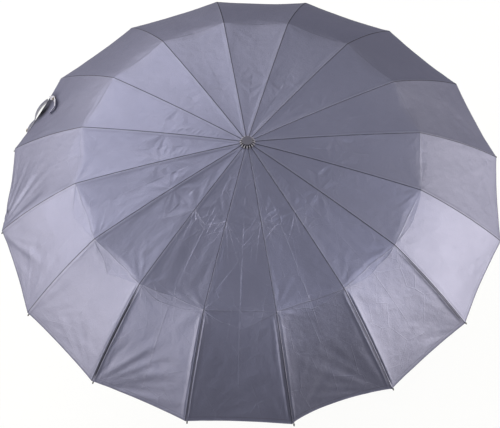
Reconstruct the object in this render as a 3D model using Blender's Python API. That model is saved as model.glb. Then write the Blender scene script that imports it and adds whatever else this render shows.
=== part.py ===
"""Automatic folding umbrella with sixteen ribs, modelled open.

Metres, +Z up. The origin is in the middle of the grip, on the shaft's axis.
Every rib lies in a plane through that axis; rib 1 points along +X.
"""

import math

import bmesh
import bpy
from mathutils import Matrix, Vector

# Fits and running clearances
FIT = 0.0003
OVERRUN = 0.002

# Ribs, in the plane of one rib
RIB_COUNT = 16
KINK_RADIUS = 0.350
STRETCHER_JOINT_RADIUS = 0.1765
PIVOT_RADIUS = 0.0125
WIRE_RADIUS = 0.0005
EYE_HOLE_RADIUS = 0.0008

# Cloth
APEX_RISE = 0.006
KINK_DROP = 0.0572
INNER_BOW = 0.00485
HEM_RADIUS = 0.522
HEM_DROP = 0.1925
OUTER_BOW = 0.0074
CLOTH_THICKNESS = 0.0006
CLOTH_HOLE_RADIUS = 0.0070
GORE_SAG = 0.0030
HEM_SCALLOP = 0.0040
HEM_SCALLOP_POWER = 4

# Inner rib, a pressed steel channel that is open below
INNER_RIB_DEPTH = 0.0036
INNER_RIB_BOW = 0.0050
CHANNEL_WIDTH = 0.0040
CHANNEL_PINCHED_WIDTH = 0.0023
CHANNEL_WALL = 0.0005
CHANNEL_TOP = 0.0012
CHANNEL_BOTTOM = 0.0022
CHANNEL_START = 0.010
CHANNEL_FULL_FROM = 0.024
CHANNEL_PAST_KINK = 0.0025
EYE_TAB_THICKNESS = 0.0016
EYE_TAB_RADIUS = 0.0014
EYE_TAB_LENGTH = 0.016
EYE_TAB_TOP = 0.0010
STRETCHER_PIN_DROP = 0.0009
PIN_HEAD_RADIUS = 0.0011
PIN_HEAD_HEIGHT = 0.0005

# Outer rib, a bowed rod on a pressed eye
ROD_RADIUS = 0.0010
ROD_START = 0.0045
OUTER_EYE_RADIUS = 0.0018
OUTER_EYE_LENGTH = 0.0080
HEM_DEPTH = 0.0028
TIP_REACH = 0.0060
TIP_CAP_RADIUS = 0.0015
TIP_CAP_LENGTH = 0.0050

# Stretcher, a smaller channel that folds up inside the inner rib
STRETCHER_WIDTH = 0.0024
STRETCHER_HEIGHT = 0.0024
STRETCHER_TAB_RADIUS = 0.0012
STRETCHER_TAB_LENGTH = 0.0100
STRETCHER_CHANNEL_START = 0.0030
RUNNER_TAB_THICKNESS = 0.0014
RUNNER_TAB_LENGTH = 0.016

# Shaft
GRIP_LENGTH = 0.085
EXPOSED_TUBE = 0.162
TUBE_OVERLAP = 0.148
UPPER_TUBE_LENGTH = 0.380
UPPER_TUBE_RADIUS = 0.0065
LOWER_TUBE_RADIUS = 0.0056
TUBE_WALL = 0.0006
TUBE_IN_GRIP = 0.072
PIVOT_BELOW_TUBE_TOP = 0.0040

# Crown notch, the slotted ring that holds the ribs' inner ends
RING_RADIUS = 0.0155
RING_SLOT_FLOOR = 0.0106
RING_BELOW = 0.0035
SLOT_ROOF = 0.0018
CROWN_HUB_RADIUS = 0.0090
CROWN_HUB_LENGTH = 0.0120

# Ferrule cap, above the cloth
CAP_FLANGE_RADIUS = 0.0160
CAP_FLANGE_EDGE = 0.0016
CAP_DISC_RADIUS = 0.0105
CAP_DISC_RISE = 0.0118
CAP_DISC_HEIGHT = 0.0022
CAP_SLOT_END = 0.0145
CAP_SLOT_WIDTH = 0.0026
CAP_STEM_LENGTH = 0.0140
CAP_CHAMFER = 0.0006

# Runner, which slides on the upper tube
RUNNER_BELOW_CROWN = 0.100
RUNNER_PIVOT_RADIUS = 0.0130
RUNNER_RING_HALF_HEIGHT = 0.0030
RUNNER_NECK_RADIUS = 0.0100
RUNNER_NECK_RISE = 0.0085
RUNNER_SLEEVE_RADIUS = 0.0092
RUNNER_SLEEVE_DROP = 0.0220
RUNNER_CUFF_RADIUS = 0.0112
RUNNER_CUFF_HEIGHT = 0.0060

# Grip, with its push button and end cap
GRIP_WAIST_RADIUS = 0.0160
GRIP_SHOULDER_RADIUS = 0.0185
GRIP_HEEL_RADIUS = 0.0180
GRIP_TOP_RADIUS = 0.0120
GRIP_EDGE = 0.0020
GRIP_WAIST_SHARES = (0.12, 0.28, 0.45, 0.62, 0.78)
END_CAP_RADIUS = 0.0150
END_CAP_THICKNESS = 0.0030
BUTTON_HEIGHT = 0.016
BUTTON_RADIUS = 0.0060
BUTTON_FLANGE_RADIUS = 0.0072
BUTTON_FLANGE_THICKNESS = 0.0012
BUTTON_FACE_REACH = 0.0200
BUTTON_BACK_REACH = 0.0140
BUTTON_DOME = 0.0006
POCKET_FLOOR_REACH = 0.0086
BUTTON_SPRING_RADIUS = 0.0040
BUTTON_SPRING_WIRE = 0.0003
BUTTON_SPRING_TURNS = 3

# Opening spring, inside the upper tube
SPRING_COIL_RADIUS = 0.0049
SPRING_WIRE_RADIUS = 0.0005
SPRING_TURNS = 14

# Closing strap, sewn to the hem of the gore that follows rib 7
STRAP_RIB = 6
STRAP_SEAM_SHARE = 0.26
STRAP_END_SHARE = 0.66
STRAP_WIDTH = 0.015
STRAP_THICKNESS = 0.0012
STRAP_BOW = 0.016
STRAP_BOW_FULLNESS = 0.8
STRAP_STUD_RADIUS = 0.0045
STRAP_STUD_HEIGHT = 0.0014

# How finely round and curved work is divided
TUBE_SIDES = 24
RING_SIDES = 32
PIN_SIDES = 6
HOLE_SIDES = 8
ARC_STEPS = 4
GRIP_SIDES = 24
ROD_SIDES = 6
RIB_STEPS_PAST_JOINT = 2
ROD_STEPS = 4
SPRING_TURN_POINTS = 8
SPRING_SIDES = 4
CLOTH_INNER_STEPS = 4
CLOTH_OUTER_STEPS = 4
STRAP_STEPS = 10

# Colours, read from the photograph
STEEL = (0.34, 0.34, 0.36, 1.0)
DARK_ROD = (0.06, 0.06, 0.07, 1.0)
CLOTH_LAVENDER = (0.29, 0.28, 0.37, 1.0)
STRAP_LAVENDER = (0.27, 0.26, 0.35, 1.0)
CAP_GREY = (0.21, 0.21, 0.23, 1.0)
BLACK_PLASTIC = (0.03, 0.03, 0.035, 1.0)
GRIP_BLACK = (0.025, 0.025, 0.028, 1.0)
BUTTON_GREY = (0.16, 0.16, 0.17, 1.0)

# Places that follow from the sizes
GRIP_TOP = GRIP_LENGTH / 2
GRIP_BOTTOM = -GRIP_LENGTH / 2
UPPER_TUBE_BOTTOM = GRIP_TOP + EXPOSED_TUBE
UPPER_TUBE_TOP = UPPER_TUBE_BOTTOM + UPPER_TUBE_LENGTH
LOWER_TUBE_TOP = UPPER_TUBE_BOTTOM + TUBE_OVERLAP
CROWN_HEIGHT = UPPER_TUBE_TOP - PIVOT_BELOW_TUBE_TOP
RUNNER_HEIGHT = CROWN_HEIGHT - RUNNER_BELOW_CROWN
APEX_HEIGHT = CROWN_HEIGHT + APEX_RISE
RIB_PITCH = 2 * math.pi / RIB_COUNT
HALF_CHANNEL = CHANNEL_WIDTH / 2
HALF_EYE_TAB = EYE_TAB_THICKNESS / 2
OUTER_LANE = HALF_CHANNEL + FIT
ROD_LANE = OUTER_LANE + ROD_RADIUS
TUBE_BORE = UPPER_TUBE_RADIUS - TUBE_WALL
SLIDING_BORE = UPPER_TUBE_RADIUS + FIT


def clear_scene():
    for item in list(bpy.data.objects):
        bpy.data.objects.remove(item, do_unlink=True)


def finish(name, colour, roughness, metallic):
    """One Principled material."""
    material = bpy.data.materials.new(name)
    material.use_nodes = True
    shader = material.node_tree.nodes["Principled BSDF"]
    shader.inputs["Base Color"].default_value = colour
    shader.inputs["Roughness"].default_value = roughness
    shader.inputs["Metallic"].default_value = metallic
    return material


def mesh_from(work, name):
    """Turn a bmesh into a mesh whose faces point out."""
    bmesh.ops.recalc_face_normals(work, faces=work.faces)
    mesh = bpy.data.meshes.new(name)
    work.to_mesh(mesh)
    work.free()
    return mesh


def lofted(sections, name):
    """A closed solid through sections that have the same number of points."""
    work = bmesh.new()
    rings = [[work.verts.new(point) for point in section] for section in sections]
    for near, far in zip(rings, rings[1:]):
        for index in range(len(near)):
            after = (index + 1) % len(near)
            work.faces.new((near[index], near[after], far[after], far[index]))
    work.faces.new(rings[0])
    work.faces.new(reversed(rings[-1]))
    return mesh_from(work, name)


def turned(profile, name, sides=TUBE_SIDES):
    """Turn an outline of (radius, height) points about Z; radius 0 closes it on the axis."""
    work = bmesh.new()
    rings = []
    for radius, height in profile:
        if radius == 0:
            rings.append([work.verts.new((0, 0, height))])
            continue
        ring = []
        for index in range(sides):
            angle = 2 * math.pi * index / sides
            ring.append(work.verts.new((radius * math.cos(angle), radius * math.sin(angle), height)))
        rings.append(ring)
    for near, far in zip(rings, rings[1:] + rings[:1]):
        if len(near) == 1 and len(far) == 1:
            continue
        for index in range(sides):
            after = (index + 1) % sides
            corners = [near[index % len(near)], near[after % len(near)]]
            corners += [far[after % len(far)], far[index % len(far)]]
            work.faces.new(list(dict.fromkeys(corners)))
    return mesh_from(work, name)


def moved(mesh, matrix):
    mesh.transform(matrix)
    return mesh


def across(mesh, spot):
    """Turn a shape made along Z to lie along Y, at spot (x, z)."""
    turn = Matrix.Rotation(-math.pi / 2, 4, "X")
    return moved(mesh, Matrix.Translation((spot[0], 0, spot[1])) @ turn)


def cross_pin(radius, start, end, spot, sides, name):
    """A pin along Y from start to end, at spot (x, z)."""
    return across(turned([(0, start), (radius, start), (radius, end), (0, end)], name, sides), spot)


def block(low, high, name):
    """A box between two corners."""
    corners = [(low[0], low[1]), (high[0], low[1]), (high[0], high[1]), (low[0], high[1])]
    return lofted([[(x, y, z) for x, y in corners] for z in (low[2], high[2])], name)


def around(mesh_maker, name):
    """One mesh that holds a copy of a shape for every rib."""
    work = bmesh.new()
    for index in range(RIB_COUNT):
        copy = moved(mesh_maker(), Matrix.Rotation(index * RIB_PITCH, 4, "Z"))
        work.from_mesh(copy)
        bpy.data.meshes.remove(copy)
    return mesh_from(work, name)


def combined(base, added, cut, name):
    """Unite solids with the base, cut others out of it, and return the finished mesh."""
    scene = bpy.context.collection
    body = bpy.data.objects.new(name + "_work", base)
    scene.objects.link(body)
    tools = []
    for operation, meshes in (("UNION", added), ("DIFFERENCE", cut)):
        for mesh in meshes:
            tool = bpy.data.objects.new(name + "_tool", mesh)
            tool.hide_render = True
            tool.display_type = "WIRE"
            scene.objects.link(tool)
            tools.append(tool)
            step = body.modifiers.new(operation, "BOOLEAN")
            step.operation = operation
            step.solver = "EXACT"
            step.object = tool
    evaluated = body.evaluated_get(bpy.context.evaluated_depsgraph_get())
    result = bpy.data.meshes.new_from_object(evaluated)
    result.name = name
    for item in [body] + tools:
        bpy.data.objects.remove(item, do_unlink=True)
    return result


def place(name, mesh, material, location=(0, 0, 0), azimuth=0.0, smooth_angle=35):
    """Put one named piece in the scene."""
    mesh.shade_smooth()
    mesh.set_sharp_from_angle(angle=math.radians(smooth_angle))
    mesh.materials.clear()
    mesh.materials.append(material)
    piece = bpy.data.objects.new(name, mesh)
    piece.location = location
    piece.rotation_euler = (0, 0, azimuth)
    bpy.context.collection.objects.link(piece)
    return piece


def place_around(stem, mesh, material, radius, height):
    """Put a copy of a rib piece at every rib, its origin on its own joint."""
    for index in range(RIB_COUNT):
        azimuth = index * RIB_PITCH
        spot = (radius * math.cos(azimuth), radius * math.sin(azimuth), height)
        place(f"{stem}_{index + 1:02d}", mesh, material, spot, azimuth)


def bowed(start, end, bow, share):
    """A point on a shallow arc between two (x, z) points; the bow stands up from the chord."""
    span = Vector(end) - Vector(start)
    normal = Vector((-span.y, span.x)).normalized()
    return Vector(start) + span * share + normal * (4 * bow * share * (1 - share))


# The cloth's line over a rib, from the apex, and the ribs' lines under it
KINK_ON_CLOTH = (KINK_RADIUS, APEX_HEIGHT - KINK_DROP)
HEM_ON_CLOTH = (HEM_RADIUS, APEX_HEIGHT - HEM_DROP)
CROWN_PIVOT = (PIVOT_RADIUS, CROWN_HEIGHT)
KINK_PIVOT = (KINK_RADIUS, KINK_ON_CLOTH[1] - INNER_RIB_DEPTH)
INNER_RIB_SPAN = KINK_RADIUS - PIVOT_RADIUS
RUNNER_PIVOT = (RUNNER_PIVOT_RADIUS, RUNNER_HEIGHT)


def inner_rib_line(x):
    """Height of the inner rib's centre line over its pivot, x out from the pivot."""
    share = x / INNER_RIB_SPAN
    fall = KINK_PIVOT[1] - CROWN_HEIGHT
    return fall * share + 4 * INNER_RIB_BOW * share * (1 - share)


STRETCHER_JOINT_X = STRETCHER_JOINT_RADIUS - PIVOT_RADIUS
STRETCHER_PIVOT = (
    STRETCHER_JOINT_RADIUS,
    CROWN_HEIGHT + inner_rib_line(STRETCHER_JOINT_X) - STRETCHER_PIN_DROP,
)


def cloth_height(radius):
    """Height of the cloth's upper side over a rib, anywhere inside the kink."""
    share = radius / KINK_RADIUS
    return APEX_HEIGHT - KINK_DROP * share + 4 * INNER_BOW * share * (1 - share)


def cloth_over_rib(share_inner=None, share_outer=None):
    """A point (radius, height) of the cloth's upper side along a rib."""
    if share_outer is None:
        radius = CLOTH_HOLE_RADIUS + (KINK_RADIUS - CLOTH_HOLE_RADIUS) * share_inner
        return Vector((radius, cloth_height(radius)))
    return bowed(KINK_ON_CLOTH, HEM_ON_CLOTH, OUTER_BOW, share_outer)


def channel(stations, wall, name):
    """A channel open below. Each station is (x, centre height, half width, top, bottom)."""
    sections = []
    for x, height, half, top, bottom in stations:
        inside = half - wall
        outline = [(-half, -bottom), (-half, top), (half, top), (half, -bottom)]
        outline += [(inside, -bottom), (inside, top - wall), (-inside, top - wall), (-inside, -bottom)]
        sections.append([(x, y, height + z) for y, z in outline])
    return lofted(sections, name)


def tab(outline, start, end, name):
    """A flat plate cut to an (x, z) outline, from start to end across the rib."""
    return lofted([[(x, y, z) for x, z in outline] for y in (start, end)], name)


def round_end(centre, radius, first, last, steps):
    """Points of an arc about a centre (x, z), angles in degrees."""
    points = []
    for index in range(steps + 1):
        angle = math.radians(first + (last - first) * index / steps)
        points.append((centre[0] + radius * math.cos(angle), centre[1] + radius * math.sin(angle)))
    return points


def make_inner_rib(material):
    """Channel from crown to kink: crown eye, stretcher pin and kink pin are part of it."""
    length = INNER_RIB_SPAN + CHANNEL_PAST_KINK
    stations = []
    for x in (CHANNEL_START, CHANNEL_FULL_FROM):
        width = CHANNEL_PINCHED_WIDTH if x == CHANNEL_START else CHANNEL_WIDTH
        stations.append((x, inner_rib_line(x), width / 2, CHANNEL_TOP, CHANNEL_BOTTOM))
    for index in range(RIB_STEPS_PAST_JOINT + 1):
        x = STRETCHER_JOINT_X + (length - STRETCHER_JOINT_X) * index / RIB_STEPS_PAST_JOINT
        stations.append((x, inner_rib_line(x), HALF_CHANNEL, CHANNEL_TOP, CHANNEL_BOTTOM))
    base = channel(stations, CHANNEL_WALL, "inner_rib_channel")

    far = inner_rib_line(EYE_TAB_LENGTH)
    outline = round_end((0, 0), EYE_TAB_RADIUS, 90, 270, ARC_STEPS)
    outline += [(EYE_TAB_LENGTH, far - EYE_TAB_RADIUS), (EYE_TAB_LENGTH, far + EYE_TAB_TOP)]
    eye = tab(outline, -HALF_EYE_TAB, HALF_EYE_TAB, "inner_rib_eye")

    pin_end = HALF_CHANNEL - CHANNEL_WALL / 2
    joint = (STRETCHER_JOINT_X, STRETCHER_PIVOT[1] - CROWN_HEIGHT)
    stretcher_pin = cross_pin(WIRE_RADIUS, -pin_end, pin_end, joint, PIN_SIDES, "stretcher_pin")

    kink = (INNER_RIB_SPAN, KINK_PIVOT[1] - CROWN_HEIGHT)
    head = OUTER_LANE + EYE_TAB_THICKNESS + FIT
    profile = [
        (0, -pin_end),
        (WIRE_RADIUS, -pin_end),
        (WIRE_RADIUS, head),
        (PIN_HEAD_RADIUS, head),
        (PIN_HEAD_RADIUS, head + PIN_HEAD_HEIGHT),
        (0, head + PIN_HEAD_HEIGHT),
    ]
    kink_pin = across(turned(profile, "kink_pin", PIN_SIDES), kink)

    hole_end = HALF_EYE_TAB + OVERRUN
    hole = cross_pin(EYE_HOLE_RADIUS, -hole_end, hole_end, (0, 0), HOLE_SIDES, "eye_hole")
    pinless = combined(base, [eye], [hole], "inner_rib_pinless")
    mesh = combined(pinless, [stretcher_pin, kink_pin], [], "inner_rib")
    place_around("inner_rib", mesh, material, PIVOT_RADIUS, CROWN_HEIGHT)


def make_outer_rib(material):
    """Eye on the kink pin, then a bowed rod beside the inner rib's line, then the tip cap."""
    hem = Vector(HEM_ON_CLOTH)
    chord = hem - Vector(KINK_ON_CLOTH)
    slope = math.atan2(chord.y, chord.x) - math.atan2(4 * OUTER_BOW, chord.length)
    along = Vector((math.cos(slope), math.sin(slope)))
    below = Vector((math.sin(slope), -math.cos(slope)))
    end = hem + below * HEM_DEPTH + along * TIP_REACH
    start = Vector(KINK_PIVOT)
    span = (end - start).length

    def rod_point(distance):
        return bowed(start, end, OUTER_BOW, distance / span) - start

    def rod_ring(distance, radius):
        ahead = rod_point(distance + OVERRUN) - rod_point(distance - OVERRUN)
        upright = Vector((-ahead.y, ahead.x)).normalized()
        centre = rod_point(distance)
        ring = []
        for index in range(ROD_SIDES):
            angle = 2 * math.pi * index / ROD_SIDES
            lift = upright * radius * math.sin(angle)
            ring.append((centre.x + lift.x, ROD_LANE + radius * math.cos(angle), centre.y + lift.y))
        return ring

    cap_start = span - TIP_CAP_LENGTH
    rings = []
    for index in range(ROD_STEPS + 1):
        rings.append(rod_ring(ROD_START + (cap_start - ROD_START) * index / ROD_STEPS, ROD_RADIUS))
    rings.append(rod_ring(cap_start + CAP_CHAMFER, TIP_CAP_RADIUS))
    rings.append(rod_ring(span - TIP_CAP_RADIUS, TIP_CAP_RADIUS))
    rings.append(rod_ring(span, TIP_CAP_RADIUS / 2))
    rod = lofted(rings, "outer_rib_rod")

    first = rod_point(OUTER_EYE_LENGTH)
    heading = math.degrees(math.atan2(first.y, first.x))
    outline = round_end((0, 0), OUTER_EYE_RADIUS, heading + 90, heading + 270, ARC_STEPS)
    outline += round_end(first, ROD_RADIUS / 2, heading - 90, heading + 90, 1)
    eye = tab(outline, OUTER_LANE, OUTER_LANE + EYE_TAB_THICKNESS, "outer_rib_eye")
    hole = cross_pin(
        EYE_HOLE_RADIUS,
        OUTER_LANE - OVERRUN,
        OUTER_LANE + EYE_TAB_THICKNESS + OVERRUN,
        (0, 0),
        HOLE_SIDES,
        "outer_eye_hole",
    )
    mesh = combined(rod, [eye], [hole], "outer_rib")
    place_around("outer_rib", mesh, material, *KINK_PIVOT)


def make_stretcher(material):
    """Channel from the inner rib's pin down to the runner's wire, which it meets without a hole."""
    reach = Vector(RUNNER_PIVOT) - Vector(STRETCHER_PIVOT)
    length = reach.length
    half = STRETCHER_WIDTH / 2
    half_height = STRETCHER_HEIGHT / 2
    channel_end = length - RUNNER_TAB_LENGTH + OVERRUN
    stations = [
        (STRETCHER_CHANNEL_START, 0, half, half_height, half_height),
        (channel_end, 0, half, half_height, half_height),
    ]
    base = channel(stations, CHANNEL_WALL, "stretcher_channel")

    outline = round_end((0, 0), STRETCHER_TAB_RADIUS, 90, 270, ARC_STEPS)
    level = half_height - CHANNEL_WALL / 2
    outline += [(STRETCHER_TAB_LENGTH, -level), (STRETCHER_TAB_LENGTH, level)]
    eye = tab(outline, -HALF_EYE_TAB, HALF_EYE_TAB, "stretcher_eye")

    tip = length - WIRE_RADIUS - FIT - STRETCHER_TAB_RADIUS
    outline = [(length - RUNNER_TAB_LENGTH, level), (length - RUNNER_TAB_LENGTH, -level)]
    outline += round_end((tip, 0), STRETCHER_TAB_RADIUS, -90, 90, ARC_STEPS)
    half_tab = RUNNER_TAB_THICKNESS / 2
    foot = tab(outline, -half_tab, half_tab, "stretcher_foot")

    hole_end = HALF_EYE_TAB + OVERRUN
    hole = cross_pin(EYE_HOLE_RADIUS, -hole_end, hole_end, (0, 0), HOLE_SIDES, "stretcher_hole")
    mesh = combined(base, [eye, foot], [hole], "stretcher")
    mesh.transform(Matrix.Rotation(-math.atan2(reach.y, reach.x), 4, "Y"))
    place_around("stretcher", mesh, material, *STRETCHER_PIVOT)


def wire_ring(apothem, height, name):
    """The ring of wire that the ribs hinge on, straight across every slot."""
    work = bmesh.new()
    rings = []
    corner = apothem / math.cos(RIB_PITCH / 2)
    for index in range(RIB_COUNT):
        angle = (index + 0.5) * RIB_PITCH
        ring = []
        for step in range(PIN_SIDES):
            turn = 2 * math.pi * (step + 0.5) / PIN_SIDES
            radius = corner + WIRE_RADIUS * math.cos(turn) / math.cos(RIB_PITCH / 2)
            level = height + WIRE_RADIUS * math.sin(turn)
            ring.append(work.verts.new((radius * math.cos(angle), radius * math.sin(angle), level)))
        rings.append(ring)
    for near, far in zip(rings, rings[1:] + rings[:1]):
        for step in range(PIN_SIDES):
            after = (step + 1) % PIN_SIDES
            work.faces.new((near[step], near[after], far[after], far[step]))
    return mesh_from(work, name)


def make_crown(material):
    """Slotted ring on the tube's top; the cloth lies on its sloping upper face."""
    low = CROWN_HEIGHT - RING_BELOW
    under_cloth = CLOTH_THICKNESS + FIT
    profile = [
        (SLIDING_BORE, CROWN_HEIGHT - CROWN_HUB_LENGTH),
        (CROWN_HUB_RADIUS, CROWN_HEIGHT - CROWN_HUB_LENGTH),
        (CROWN_HUB_RADIUS, low - FIT),
        (RING_SLOT_FLOOR + FIT, low),
        (RING_RADIUS, low),
        (RING_RADIUS, cloth_height(RING_RADIUS) - under_cloth),
        (SLIDING_BORE, cloth_height(SLIDING_BORE) - under_cloth),
    ]
    base = turned(profile, "crown_body", RING_SIDES)
    half = HALF_EYE_TAB + FIT

    def slot():
        low_corner = (RING_SLOT_FLOOR, -half, low - OVERRUN)
        high_corner = (RING_RADIUS + OVERRUN, half, CROWN_HEIGHT + SLOT_ROOF)
        return block(low_corner, high_corner, "crown_slot")

    ring = wire_ring(PIVOT_RADIUS, CROWN_HEIGHT, "crown_wire")
    slotted = combined(base, [], [around(slot, "crown_slots")], "crown_slotted")
    place("crown_notch", combined(slotted, [ring], [], "crown_notch"), material)


def make_ferrule_cap(material):
    """Disc over a slotted flange; its stem goes through the cloth into the tube."""
    stem = TUBE_BORE - FIT
    top = CROWN_HEIGHT + CAP_DISC_RISE
    shoulder = top - CAP_DISC_HEIGHT
    flange_bottom = cloth_height(CAP_FLANGE_RADIUS) + FIT
    profile = [
        (0, UPPER_TUBE_TOP - CAP_STEM_LENGTH),
        (stem, UPPER_TUBE_TOP - CAP_STEM_LENGTH),
        (stem, cloth_height(stem) + FIT),
        (CAP_FLANGE_RADIUS, flange_bottom),
        (CAP_FLANGE_RADIUS, flange_bottom + CAP_FLANGE_EDGE),
        (CAP_DISC_RADIUS, shoulder),
        (CAP_DISC_RADIUS, top - CAP_CHAMFER),
        (CAP_DISC_RADIUS - CAP_CHAMFER, top),
        (0, top),
    ]
    base = turned(profile, "cap_body", RING_SIDES)
    half = CAP_SLOT_WIDTH / 2

    def slot():
        low_corner = (CAP_DISC_RADIUS + FIT, -half, flange_bottom - OVERRUN)
        return block(low_corner, (CAP_SLOT_END, half, top), "cap_slot")

    place("ferrule_cap", combined(base, [], [around(slot, "cap_slots")], "ferrule_cap"), material)


def make_runner(material):
    """Sleeve on the upper tube with a slotted ring and its wire for the stretchers' feet."""
    ring_low = RUNNER_HEIGHT - RUNNER_RING_HALF_HEIGHT
    ring_high = RUNNER_HEIGHT + RUNNER_RING_HALF_HEIGHT
    bottom = RUNNER_HEIGHT - RUNNER_SLEEVE_DROP
    cuff_top = bottom + RUNNER_CUFF_HEIGHT
    cuff_slope = RUNNER_CUFF_RADIUS - RUNNER_SLEEVE_RADIUS
    profile = [
        (SLIDING_BORE, bottom),
        (RUNNER_CUFF_RADIUS - CAP_CHAMFER, bottom),
        (RUNNER_CUFF_RADIUS, bottom + CAP_CHAMFER),
        (RUNNER_CUFF_RADIUS, cuff_top - cuff_slope),
        (RUNNER_SLEEVE_RADIUS, cuff_top),
        (RUNNER_SLEEVE_RADIUS, ring_low - FIT),
        (RING_SLOT_FLOOR + FIT, ring_low),
        (RING_RADIUS, ring_low),
        (RING_RADIUS, ring_high),
        (RING_SLOT_FLOOR + FIT, ring_high),
        (RUNNER_NECK_RADIUS, ring_high + FIT),
        (RUNNER_NECK_RADIUS, RUNNER_HEIGHT + RUNNER_NECK_RISE - CAP_CHAMFER),
        (RUNNER_NECK_RADIUS - CAP_CHAMFER, RUNNER_HEIGHT + RUNNER_NECK_RISE),
        (SLIDING_BORE, RUNNER_HEIGHT + RUNNER_NECK_RISE),
    ]
    base = turned(profile, "runner_body", RING_SIDES)
    half = RUNNER_TAB_THICKNESS / 2 + FIT

    def slot():
        low_corner = (RING_SLOT_FLOOR, -half, ring_low - OVERRUN)
        return block(low_corner, (RING_RADIUS + OVERRUN, half, ring_high + OVERRUN), "runner_slot")

    ring = wire_ring(RUNNER_PIVOT_RADIUS, RUNNER_HEIGHT, "runner_wire")
    slotted = combined(base, [], [around(slot, "runner_slots")], "runner_slotted")
    mesh = combined(slotted, [ring], [], "runner")
    mesh.transform(Matrix.Translation((0, 0, -RUNNER_HEIGHT)))
    place("runner", mesh, material, (0, 0, RUNNER_HEIGHT))


def make_tube(name, radius, bottom, top, material):
    """A drawn steel tube, open at both ends."""
    profile = [(radius - TUBE_WALL, bottom), (radius, bottom), (radius, top), (radius - TUBE_WALL, top)]
    place(name, turned(profile, name), material)


def make_grip(material):
    """Moulded grip, waisted for the hand, with the tube's socket and the button's pocket."""
    socket = LOWER_TUBE_RADIUS + FIT
    socket_floor = GRIP_TOP - TUBE_IN_GRIP
    recess = END_CAP_THICKNESS + FIT
    profile = [
        (0, GRIP_BOTTOM + recess),
        (END_CAP_RADIUS + FIT, GRIP_BOTTOM + recess),
        (END_CAP_RADIUS + FIT, GRIP_BOTTOM),
        (GRIP_HEEL_RADIUS - GRIP_EDGE, GRIP_BOTTOM),
        (GRIP_HEEL_RADIUS, GRIP_BOTTOM + GRIP_EDGE),
    ]
    waist_span = GRIP_TOP - GRIP_EDGE - (GRIP_BOTTOM + GRIP_EDGE)
    for share in GRIP_WAIST_SHARES:
        blend = math.sin(math.pi * share) ** 2
        straight = GRIP_HEEL_RADIUS + (GRIP_SHOULDER_RADIUS - GRIP_HEEL_RADIUS) * share
        radius = straight + (GRIP_WAIST_RADIUS - straight) * blend
        profile.append((radius, GRIP_BOTTOM + GRIP_EDGE + waist_span * share))
    neck = GRIP_SHOULDER_RADIUS - GRIP_TOP_RADIUS
    profile += [
        (GRIP_SHOULDER_RADIUS, GRIP_TOP - neck),
        (GRIP_SHOULDER_RADIUS - GRIP_EDGE, GRIP_TOP - neck / 2),
        (GRIP_TOP_RADIUS, GRIP_TOP),
        (socket, GRIP_TOP),
        (socket, socket_floor),
        (0, socket_floor),
    ]
    base = turned(profile, "grip_body", GRIP_SIDES)

    lip = BUTTON_BACK_REACH + BUTTON_FLANGE_THICKNESS + FIT
    pocket_profile = [
        (0, POCKET_FLOOR_REACH),
        (BUTTON_FLANGE_RADIUS + FIT, POCKET_FLOOR_REACH),
        (BUTTON_FLANGE_RADIUS + FIT, lip),
        (BUTTON_RADIUS + FIT, lip),
        (BUTTON_RADIUS + FIT, BUTTON_FACE_REACH + OVERRUN),
        (0, BUTTON_FACE_REACH + OVERRUN),
    ]
    pocket = moved(turned(pocket_profile, "button_pocket"), button_matrix())
    place("grip", combined(base, [], [pocket], "grip"), material)


def button_matrix():
    """From an outline turned about Z to the button's axis, which points along -Y."""
    return Matrix.Translation((0, 0, BUTTON_HEIGHT)) @ Matrix.Rotation(math.pi / 2, 4, "X")


def make_end_cap(material):
    """Disc that closes the grip's heel."""
    top = GRIP_BOTTOM + END_CAP_THICKNESS
    profile = [
        (0, GRIP_BOTTOM),
        (END_CAP_RADIUS - CAP_CHAMFER, GRIP_BOTTOM),
        (END_CAP_RADIUS, GRIP_BOTTOM + CAP_CHAMFER),
        (END_CAP_RADIUS, top),
        (0, top),
    ]
    place("grip_end_cap", turned(profile, "grip_end_cap", GRIP_SIDES), material)


def make_button(material):
    """Round button, held in its pocket by a flange behind the pocket's lip."""
    flange_front = BUTTON_BACK_REACH + BUTTON_FLANGE_THICKNESS
    profile = [
        (0, BUTTON_BACK_REACH),
        (BUTTON_FLANGE_RADIUS, BUTTON_BACK_REACH),
        (BUTTON_FLANGE_RADIUS, flange_front),
        (BUTTON_RADIUS, flange_front),
        (BUTTON_RADIUS, BUTTON_FACE_REACH - 2 * BUTTON_DOME),
        (BUTTON_RADIUS - BUTTON_DOME, BUTTON_FACE_REACH - BUTTON_DOME),
        (BUTTON_RADIUS / 2, BUTTON_FACE_REACH),
        (0, BUTTON_FACE_REACH),
    ]
    mesh = moved(turned(profile, "push_button"), Matrix.Rotation(math.pi / 2, 4, "X"))
    place("push_button", mesh, material, (0, 0, BUTTON_HEIGHT))


def helix(coil_radius, wire_radius, bottom, top, turns, name):
    """A round wire wound about Z between two heights, both counted to the wire's outside."""
    low = bottom + wire_radius
    rise = top - bottom - 2 * wire_radius
    steps = turns * SPRING_TURN_POINTS
    climb = rise / (turns * 2 * math.pi * coil_radius)
    sections = []
    for index in range(steps + 1):
        angle = 2 * math.pi * index / SPRING_TURN_POINTS
        outward = Vector((math.cos(angle), math.sin(angle), 0))
        along = Vector((-math.sin(angle), math.cos(angle), climb)).normalized()
        upward = outward.cross(along).normalized()
        centre = outward * coil_radius + Vector((0, 0, low + rise * index / steps))
        ring = []
        for step in range(SPRING_SIDES):
            turn = 2 * math.pi * step / SPRING_SIDES
            ring.append(centre + (outward * math.cos(turn) + upward * math.sin(turn)) * wire_radius)
        sections.append(ring)
    return lofted(sections, name)


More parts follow.
